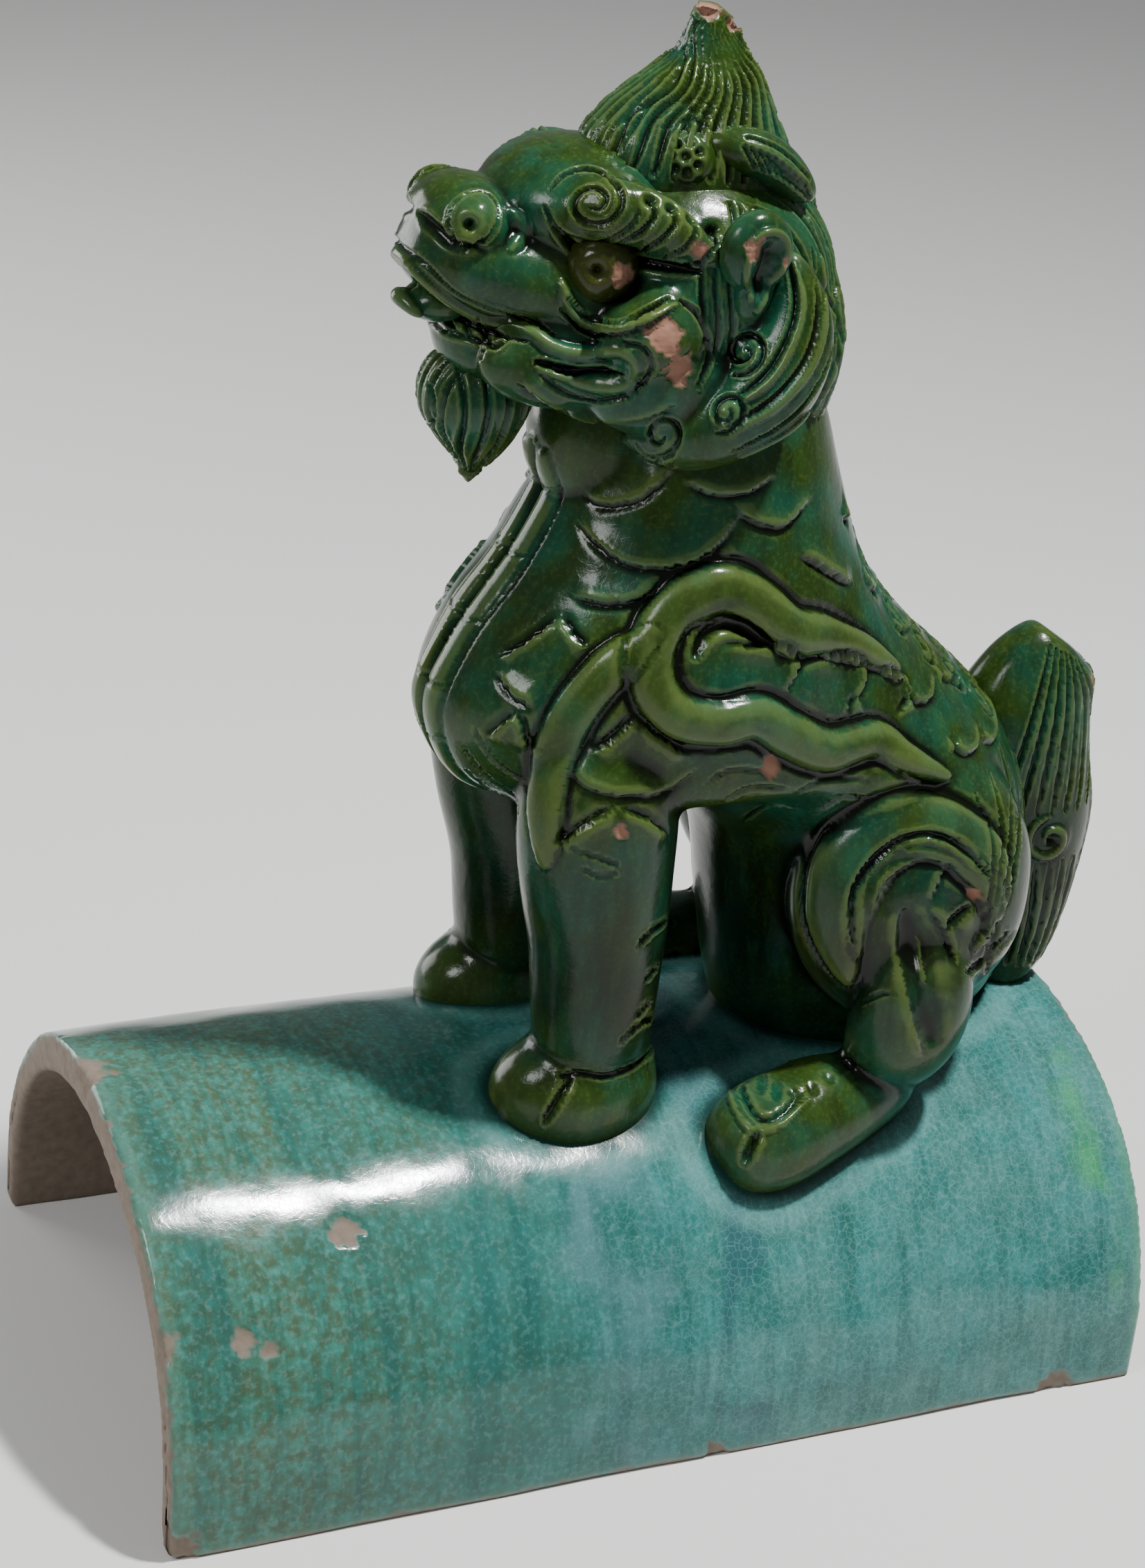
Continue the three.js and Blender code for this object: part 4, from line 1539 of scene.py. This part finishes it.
@dataclass
class RidgeTile:
    """The half-barrel ridge tile that the lion sits on.

    Attributes:
        finish: the glaze.
        wall: its thickness in mm.
        vent: half width and half length of the hole under the lion, in mm.
        vent_y: the hole's place from the tile's middle, in mm.
        fine: squares of the skin in mm.
        foot_thinning: how much thinner the wall is at its foot, in mm.
        thinning_top: height at which the wall has its full thickness, in mm.
        outer_skin: depth into the wall that keeps its place, in mm.
        end: where the bare end faces begin, from the tile's middle, in mm.
    """

    finish: "Glaze"
    wall: float = 12
    vent: tuple = (22, 35)
    vent_y: float = 82
    fine: float = 1.5
    foot_thinning: float = 3.5
    thinning_top: float = 75
    outer_skin: float = 6
    end: float = 149.6

    def build(self) -> bpy.types.Object:
        """Models, wears and dresses the tile.

        Returns:
            The tile.
        """
        bpy.ops.object.select_all(action="DESELECT")
        bpy.ops.mesh.primitive_grid_add(x_subdivisions=120, y_subdivisions=120, size=2)
        tile = bpy.context.view_layer.objects.active
        tile.name = tile.data.name = "ridge_tile"
        sheet = read_points(tile) * MM
        half, rise = TILE_HIGH[0] / MM, CROWN - SKIRT
        arc = math.pi / 2 * (half + rise) / 2
        skirt_share = SKIRT / (SKIRT + arc)
        side = np.abs(sheet[:, 0])
        turn = np.clip(side / (1 - skirt_share), 0, 1) * math.pi / 2
        drop = np.clip((side - (1 - skirt_share)) / skirt_share, 0, 1) * SKIRT
        x = np.sign(sheet[:, 0]) * half * np.sin(turn)
        z = SKIRT + rise * np.cos(turn) - drop
        length = (TILE_HIGH[1] - TILE_LOW[1]) / MM
        write_points(tile, np.stack([x, MIDDLE + sheet[:, 1] * length / 2, z], axis=1))
        self.open_vent(tile)
        apply_modifier(tile, "SOLIDIFY", thickness=self.wall * MM, offset=-1, use_even_offset=True)
        apply_modifier(tile, "REMESH", mode="VOXEL", voxel_size=self.fine * MM, use_smooth_shade=True)
        apply_modifier(tile, "SMOOTH", factor=0.5, iterations=2)
        self.wear(tile)
        dress(tile, self.finish.material())
        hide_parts("ridge_tile")
        return tile

    def open_vent(self, tile: bpy.types.Object) -> None:
        """Cuts the oval hole under the lion out of the sheet.

        Args:
            tile: the sheet, before it gets its thickness.
        """
        only(tile)
        centres = np.empty(len(tile.data.polygons) * 3, np.float32)
        tile.data.polygons.foreach_get("center", centres)
        x, y, _ = centres.reshape(-1, 3).astype(float).T / MM
        inside = (x / self.vent[0]) ** 2 + ((y - MIDDLE - self.vent_y) / self.vent[1]) ** 2 < 1
        tile.data.vertices.foreach_set("select", np.zeros(len(tile.data.vertices), bool))
        tile.data.edges.foreach_set("select", np.zeros(len(tile.data.edges), bool))
        tile.data.polygons.foreach_set("select", inside)
        bpy.ops.object.mode_set(mode="EDIT")
        bpy.ops.mesh.select_mode(type="FACE")
        bpy.ops.mesh.delete(type="FACE")
        bpy.ops.object.mode_set(mode="OBJECT")

    def gather(self, tile: bpy.types.Object, figure: Sequence[bpy.types.Object]) -> None:
        """Lets the glaze gather on the tile round the feet of the figure that stands on it.

        Args:
            tile: the finished tile.
            figure: the pieces that stand on it.
        """
        points = read_points(tile)
        near = np.flatnonzero((points[:, 2] > CROWN - 45) & (points[:, 1] > MIDDLE - 60))
        gap = np.full(len(points), 99.0)
        bpy.context.view_layer.update()
        for piece in figure:
            skin = BVHTree.FromObject(piece, bpy.context.evaluated_depsgraph_get())
            for k in near:
                found = skin.find_nearest(Vector(points[k] * MM), 12 * MM)[3]
                if found is not None:
                    gap[k] = min(gap[k], found / MM)
        keep_number(tile, "pool", np.exp(-((gap / 3.2) ** 2)))
        keep_number(tile, "halo", np.exp(-(((gap - 8) / 3.5) ** 2)))

    def wear(self, tile: bpy.types.Object) -> None:
        """Makes the tile hand-made: uneven, chipped, glazed outside and bare on rims and inside.

        Args:
            tile: the tile.
        """
        points = read_points(tile)
        normals = read_normals(tile)
        low, high = TILE_LOW / MM, TILE_HIGH / MM
        uneven = lumps(points, 70, 11) * 0.5 + lumps(points, 18, 12) * 0.1
        write_points(tile, np.clip(points + normals * uneven[:, None], low, high))
        points = read_points(tile)
        keep_relief(tile, 24, 0.6)
        y = points[:, 1] - MIDDLE
        half, rise = high[0], CROWN - SKIRT
        height = np.maximum(points[:, 2] - SKIRT, 0)
        round_share = np.sqrt((points[:, 0] / half) ** 2 + (height / rise) ** 2)
        within = round_share < 1 - self.outer_skin / half
        thin_foot = self.foot_thinning * np.clip(1 - points[:, 2] / self.thinning_top, 0, 1) * within
        points[:, 0] += np.sign(points[:, 0]) * thin_foot
        write_points(tile, points)
        ragged = lumps(points, 9, 13) * 0.7 + lumps(points, 3, 14) * 0.4
        depth = (1 - round_share) * half
        inner = np.clip((depth - 3.5 + ragged) / 1.2, 0, 1)
        end = np.clip(1.0 - (self.end - np.abs(y) + ragged * 0.5) / 0.8, 0, 1)
        end = end * (depth > 1.2 + 0.8 * ragged)
        foot = np.clip(1.3 - (points[:, 2] + ragged) / 1.6, 0, 1)
        keep_number(tile, "bare", np.maximum.reduce([inner, end, foot]))
        spots = [
            (above(60, -94, tile_up(60)), 3.6),
            (above(61.5, -97, tile_up(61)), 2.4),
            (above(77, -127, tile_up(77)), 3.4),
            (above(79, -121, tile_up(79)), 2.4),
            (above(76, -150, tile_up(76)), 4.0),
            (above(-6, -149, 0), 7.0),
            (above(90, -149, 3 - CROWN), 8.0),
            (above(91, 12, 1 - CROWN), 4.0),
            (above(90, 124, 3 - CROWN), 5.0),
            (above(-64, 60, tile_up(64)), 4.0),
            (above(-40, 149, tile_up(40)), 5.5),
            (above(-89, -60, 4 - CROWN), 5.0),
        ]
        chip(tile, spots, 0.7)


# ---------------------------------------------------------------- finishes


def linear(colour: str) -> tuple[float, float, float, float]:
    """A colour given as sRGB hex, in linear light."""
    parts = [int(colour[k : k + 2], 16) / 255 for k in (1, 3, 5)]
    return (*((part / 12.92 if part <= 0.04045 else ((part + 0.055) / 1.055) ** 2.4) for part in parts), 1.0)


def per(size: float) -> float:
    """The scale of a pattern whose features are this many mm apart."""
    return 1 / (size * MM)


def add(tree: bpy.types.NodeTree, kind: str, settings: dict, **links: object) -> bpy.types.Node:
    """Adds a node.

    Args:
        tree: the material's node tree.
        kind: the node's type, without its common prefix.
        settings: its properties by name.
        links: values or sockets for its inputs, by name with _ for a space or as i and a number.

    Returns:
        The node.
    """
    node = tree.nodes.new("ShaderNode" + kind)
    for name, value in settings.items():
        setattr(node, name, value)
    for name, value in links.items():
        key = int(name[1:]) if name[1:].isdigit() else name.replace("_", " ")
        if isinstance(value, bpy.types.NodeSocket):
            tree.links.new(value, node.inputs[key])
        else:
            node.inputs[key].default_value = value
    return node


@dataclass
class Glaze:
    """Lead glaze over fired clay: glassy and green, dark where it gathered and thin on edges.

    Attributes:
        name: the material's name.
        thick_and_shade: colour where the glaze gathered, also used for the painted shade low down, sRGB hex.
        body: its usual colour.
        teal: colour of its bluer patches.
        thin: colour on edges, where the clay shows through.
        clay: colour of the bare clay.
        clay_dark: colour of its dirtier patches.
        milky: how much pale crackled bloom lies on it, from 0 to 1.
        roughness: of the glazed surface.
        crackle: size of the crackle in mm.
        shade_top: height in m below which the colour is painted darker, as painted shade low down.
        shade_deepest: height in m where that painted shade is darkest.
        shade_end: height in m of the paws, below which the painted shade lifts again, as the paws face the
            light.
        ripple: height of its unevenness in mm.
        ior: of the glaze.
        gloss: share of the light that it mirrors, 0.5 on clean glass.
        made: the material, once it is there.
    """

    name: str
    thick_and_shade: str
    body: str
    teal: str
    thin: str
    clay: str = "#946a59"
    clay_dark: str = "#7a5c4c"
    milky: float = 0.0
    roughness: float = 0.14
    crackle: float = 2.6
    shade_top: float = 0.19
    shade_deepest: float = 0.14
    shade_end: float = 0.118
    ripple: float = 0.35
    ior: float = 1.6
    gloss: float = 0.19
    made: bpy.types.Material | None = field(default=None, repr=False)

    def material(self) -> bpy.types.Material:
        """The node material, made once.

        Returns:
            The material.
        """
        if self.made is None:
            self.made = bpy.data.materials.new(self.name)
            self.made.use_nodes = True
            self.made.node_tree.nodes.clear()
            self.paint(self.made.node_tree)
        return self.made

    def blend(
        self, tree: bpy.types.NodeTree, share: object, one: object, two: object
    ) -> bpy.types.NodeSocket:
        """Mixes two colours by a share."""
        return add(tree, "Mix", {"data_type": "RGBA"}, i0=share, i6=one, i7=two).outputs[2]

    def level(
        self, tree: bpy.types.NodeTree, value: object, low: float, high: float, top: float = 1.0
    ) -> bpy.types.NodeSocket:
        """Stretches a value so that low becomes 0 and high becomes top."""
        links = {"Value": value, "From_Min": low, "From_Max": high, "To_Min": 0.0, "To_Max": top}
        return add(tree, "MapRange", {"clamp": True}, **links).outputs[0]

    def noise(
        self, tree: bpy.types.NodeTree, where: object, size: float, detail: float = 3.0
    ) -> bpy.types.NodeSocket:
        """Noise with features of a size in mm.

        Args:
            tree: the material's node tree.
            where: the place to read it at.
            size: size of its features in mm.
            detail: how many finer layers it has.

        Returns:
            The noise, about 0 to 1.
        """
        return add(
            tree, "TexNoise", {}, Vector=where, Scale=per(size), Detail=detail, Roughness=0.55
        ).outputs[0]

    def paint(self, tree: bpy.types.NodeTree) -> None:
        """Builds the glaze's nodes.

        Args:
            tree: the material's node tree.
        """
        where = add(tree, "TexCoord", {}).outputs["Object"]
        hollow = add(tree, "Attribute", {"attribute_name": "hollow"}).outputs["Fac"]
        sharp = add(tree, "Attribute", {"attribute_name": "edge"}).outputs["Fac"]
        chipped = add(tree, "Attribute", {"attribute_name": "chip"}).outputs["Fac"]
        bare = add(tree, "Attribute", {"attribute_name": "bare"}).outputs["Fac"]
        runs = add(tree, "Mapping", {}, Vector=where, Scale=(1.0, 1.0, 0.18)).outputs[0]
        cloud = self.level(tree, self.noise(tree, where, 26), 0.42, 0.62)
        streak = self.level(tree, self.noise(tree, runs, 5, 4.0), 0.35, 0.68)
        speck = self.level(tree, self.noise(tree, where, 1.4, 2.0), 0.5, 0.72)
        colour = self.blend(tree, cloud, linear(self.body), linear(self.teal))
        colour = self.blend(tree, self.level(tree, streak, 0, 1, 0.45), colour, linear(self.thick_and_shade))
        colour = self.blend(tree, self.level(tree, speck, 0, 1, 0.1), colour, linear(self.thin))
        up = add(tree, "SeparateXYZ", {}, Vector=where).outputs["Z"]
        # Painted shade: the colour is darkened towards the bottom of the piece in streaks, and lifted again
        # at paw height, where the paws face the light.
        painted_shade = self.level(tree, up, self.shade_top, self.shade_deepest, 0.66)
        painted_shade = add(
            tree, "Math", {"operation": "MULTIPLY"}, i0=painted_shade, i1=self.level(tree, streak, -0.6, 0.5)
        ).outputs[0]
        lift = self.level(tree, up, self.shade_end - 0.012, self.shade_end + 0.006)
        painted_shade = add(tree, "Math", {"operation": "MULTIPLY"}, i0=painted_shade, i1=lift).outputs[0]
        colour = self.blend(tree, painted_shade, colour, linear(self.thick_and_shade))
        colour = self.local(tree, where, colour)
        colour = self.blend(tree, self.level(tree, hollow, 0.08, 0.9, 0.94), colour, linear(self.thick_and_shade))
        colour = self.blend(tree, self.level(tree, hollow, -0.3, -1.4, 0.12), colour, linear(self.thin))
        colour = self.blend(tree, self.level(tree, sharp, 0.8, 1.5, 0.22), colour, linear(self.thin))
        clay_tone = self.blend(
            tree, self.noise(tree, where, 3, 4.0), linear(self.clay), linear(self.clay_dark)
        )
        broken = add(tree, "Math", {"operation": "MAXIMUM"}, i0=chipped, i1=bare).outputs[0]
        colour = self.blend(tree, broken, colour, clay_tone)
        rough = self.level(tree, self.noise(tree, where, 9), 0.3, 0.75, 0.1)
        rough = add(tree, "Math", {"operation": "ADD"}, i0=rough, i1=self.roughness).outputs[0]
        rough = add(tree, "Mix", {"data_type": "FLOAT"}, i0=broken, i2=rough, i3=0.85).outputs[0]
        cells = add(
            tree, "TexVoronoi", {"feature": "DISTANCE_TO_EDGE"}, Vector=where, Scale=per(self.crackle)
        ).outputs[0]
        cracks = self.level(tree, cells, 0.0, 0.05)
        grain = self.noise(tree, where, 0.9, 3.0)
        swell = self.noise(tree, where, 6.0, 2.0)
        height = add(tree, "Math", {"operation": "MULTIPLY_ADD"}, i0=grain, i1=0.25, i2=swell).outputs[0]
        height = add(tree, "Math", {"operation": "MULTIPLY_ADD"}, i0=cracks, i1=0.06, i2=height).outputs[0]
        bump = add(tree, "Bump", {}, Strength=0.35, Distance=self.ripple * MM, Height=height).outputs[0]
        skin = add(
            tree,
            "BsdfPrincipled",
            {},
            Base_Color=colour,
            Roughness=rough,
            IOR=self.ior,
            Specular_IOR_Level=self.gloss,
            Normal=bump,
        )
        add(tree, "OutputMaterial", {}, Surface=skin.outputs[0])

    def local(self, tree: bpy.types.NodeTree, where: object, colour: object) -> bpy.types.NodeSocket:
        """Changes of colour from place to place, none on the figure."""
        return colour


@dataclass
class TileGlaze(Glaze):
    """The tile's glaze: olive at the front, paler and milky turquoise behind, crackled all over.

    Attributes:
        front: colour of the speckled front.
        bloom: colour of the milky patches.
    """

    front: str = "#46543a"
    bloom: str = "#78a8a4"

    def local(self, tree: bpy.types.NodeTree, where: object, colour: object) -> bpy.types.NodeSocket:
        """Front and crown go olive, the rest gets milky bloom, pale crackle and a lilac run.

        Args:
            tree: the material's node tree.
            where: the place, in Object coordinates.
            colour: the glaze so far.

        Returns:
            The colour with its local changes.
        """
        along = add(tree, "SeparateXYZ", {}, Vector=where).outputs
        runs = add(tree, "Mapping", {}, Vector=where, Scale=(0.1, 1.0, 0.1)).outputs[0]
        wave = self.noise(tree, where, 40)
        wander = add(tree, "Math", {"operation": "MULTIPLY_ADD"}, i0=wave, i1=0.09, i2=along["Y"]).outputs[0]
        forward = self.level(tree, wander, 0.03, -0.07, 0.85)
        speckle = self.level(tree, self.noise(tree, where, 3.2, 6.0), 0.4, 0.66)
        front = self.blend(tree, speckle, linear(self.front), linear("#3f7a6c"))
        colour = self.blend(tree, forward, colour, front)
        back = self.level(tree, wander, -0.01, 0.06)
        milk = self.level(tree, self.noise(tree, where, 15, 12.0), 0.3, 0.7, self.milky)
        milk = add(tree, "Math", {"operation": "MULTIPLY"}, i0=milk, i1=back).outputs[0]
        colour = self.blend(tree, milk, colour, linear(self.bloom))
        drip = self.level(tree, self.noise(tree, runs, 9, 4.0), 0.48, 0.68, 0.62)
        colour = self.blend(tree, drip, colour, linear(self.thick_and_shade))
        fine = self.level(tree, self.noise(tree, runs, 2.4, 3.0), 0.48, 0.68, 0.4)
        colour = self.blend(tree, fine, colour, linear("#1d4a43"))
        grain = self.noise(tree, where, 1.7, 4.0)
        colour = self.blend(tree, self.level(tree, grain, 0.5, 0.66, 0.16), colour, linear(self.bloom))
        colour = self.blend(tree, self.level(tree, grain, 0.5, 0.34, 0.2), colour, linear("#2f5a48"))
        for centre, half, tone, share in (
            (-0.022, 0.010, "#6d8f98", 0.26), (0.014, 0.008, "#2c5258", 0.7),
            (0.147, 0.012, "#3f9a4e", 0.5),
        ):
            off = add(tree, "Math", {"operation": "SUBTRACT"}, i0=wander, i1=centre + 0.045).outputs[0]
            off = add(tree, "Math", {"operation": "ABSOLUTE"}, i0=off).outputs[0]
            band = self.level(tree, off, half, half * 0.2, share)
            patch = self.level(tree, self.noise(tree, runs, 16), 0.4, 0.6)
            band = add(tree, "Math", {"operation": "MULTIPLY"}, i0=band, i1=patch).outputs[0]
            colour = self.blend(tree, band, colour, linear(tone))
        cells = add(
            tree, "TexVoronoi", {"feature": "DISTANCE_TO_EDGE"}, Vector=where, Scale=per(self.crackle)
        ).outputs[0]
        lines = self.level(tree, cells, 0.06, 0.0, 0.28)
        lines = add(tree, "Math", {"operation": "MULTIPLY"}, i0=lines, i1=back).outputs[0]
        colour = self.blend(tree, lines, colour, linear(self.bloom))
        halo = add(tree, "Attribute", {"attribute_name": "halo"}).outputs["Fac"]
        colour = self.blend(tree, self.level(tree, halo, 0, 1, 0.2), colour, linear(self.bloom))
        pool = add(tree, "Attribute", {"attribute_name": "pool"}).outputs["Fac"]
        return self.blend(tree, self.level(tree, pool, 0.05, 0.9, 0.9), colour, linear("#14302a"))


# ---------------------------------------------------------------- floor, light and camera


@dataclass
class Studio:
    """A plain pale floor, soft light and the camera.

    Attributes:
        lens: focal length in mm on a 36 mm sensor.
        azimuth: where the camera stands, in degrees from -Y towards +X.
        elevation: how high it looks from, in degrees.
        roll: its tilt in degrees.
    """

    lens: float = 72.05
    azimuth: float = 64.64
    elevation: float = 25.90
    roll: float = 5.81

    def build(self) -> None:
        """Sets up floor, lamps, sky and camera."""
        bpy.ops.object.select_all(action="DESELECT")
        bpy.ops.mesh.primitive_plane_add(size=60, location=(0, 0, 0))
        floor = bpy.context.view_layer.objects.active
        floor.name = floor.data.name = "floor"
        paper = bpy.data.materials.new("pale_matt_paper")
        paper.use_nodes = True
        shader = paper.node_tree.nodes["Principled BSDF"]
        shader.inputs["Base Color"].default_value = linear("#d9d9d7")
        shader.inputs["Roughness"].default_value = 0.9
        floor.data.materials.append(paper)
        self.lamp("overhead_lamp", (0.25, 0.34, 1.45), 0.09, 36)
        self.lamp("front_softbox", (0.5, -1.5, 1.5), 0.6, 17)
        self.lamp("window_card", (-1.15, -0.75, 0.35), 0.7, 9)
        world = bpy.data.worlds.new("studio_sky")
        world.use_nodes = True
        world.node_tree.nodes["Background"].inputs[0].default_value = linear("#f4f6f8")
        world.node_tree.nodes["Background"].inputs[1].default_value = 0.22
        bpy.context.scene.world = world
        self.camera()

    def lamp(self, name: str, place: Point, size: float, power: float) -> None:
        """One square lamp that shines at the lion.

        Args:
            name: its name.
            place: where it stands, in m.
            size: its side in m.
            power: in W.
        """
        light = bpy.data.lights.new(name, "AREA")
        light.size = size
        light.energy = power
        stand = bpy.data.objects.new(name, light)
        bpy.context.collection.objects.link(stand)
        stand.location = place
        aim = Vector((0, 0, 0.15)) - Vector(place)
        stand.rotation_euler = aim.to_track_quat("-Z", "Y").to_euler()

    def camera(self) -> None:
        """Places the camera."""
        lens = bpy.data.cameras.new("camera")
        lens.lens = self.lens
        lens.sensor_width = 36
        view = bpy.data.objects.new("camera", lens)
        bpy.context.collection.objects.link(view)
        azimuth, elevation, roll = (math.radians(a) for a in (self.azimuth, self.elevation, self.roll))
        turn = Matrix.Rotation(azimuth, 4, "Z") @ Matrix.Rotation(math.pi / 2 - elevation, 4, "X")
        view.matrix_world = Matrix.Translation(Vector(EYE * MM)) @ turn @ Matrix.Rotation(roll, 4, "Z")
        bpy.context.scene.camera = view


def main() -> None:
    logging.basicConfig(level=logging.INFO, format="%(message)s")
    # Green lead glaze on the hand-modelled figure: glassy, almost black in the grooves, olive on thin edges,
    # and painted darker on the legs and lower body as shade, paler again on the paws that face the light.
    figure = Glaze("green_lead_glaze", thick_and_shade="#050702", body="#22390e", teal="#114532", thin="#6c7d44")
    # The same glaze, brown over the eyes and painted darker still as the shade of the deep-set eyes under the
    # brows.
    eyes = Glaze(
        "eye_glaze_and_painted_shade", thick_and_shade="#0a0a04", body="#2c3212", teal="#2a3a18", thin="#6d6a34",
        roughness=0.12,
    )
    # Copper-green lead glaze on the tile: milky, crackled and run down the sides.
    tile = TileGlaze(
        "turquoise_tile_glaze",
        thick_and_shade="#1a4f4c",
        body="#215f5a",
        teal="#287270",
        thin="#5f8a7c",
        clay="#877b6f",
        clay_dark="#5f5145",
        milky=0.3,
        roughness=0.09,
        crackle=2.2,
        # Painted shade: the tile is painted slightly darker towards its foot.
        shade_top=0.02,
        shade_deepest=-0.05,
        shade_end=-0.1,
        ripple=0.14,
        ior=1.52,
        gloss=0.3,
    )
    Studio().build()
    ridge = RidgeTile(tile)
    laid = ridge.build()
    ridge.gather(laid, LionBody(figure).build())
    LionHead(figure, eyes).build()
    HeadDress(figure).build()
    Tail(figure).build()


if __name__ == "__main__":
    main()
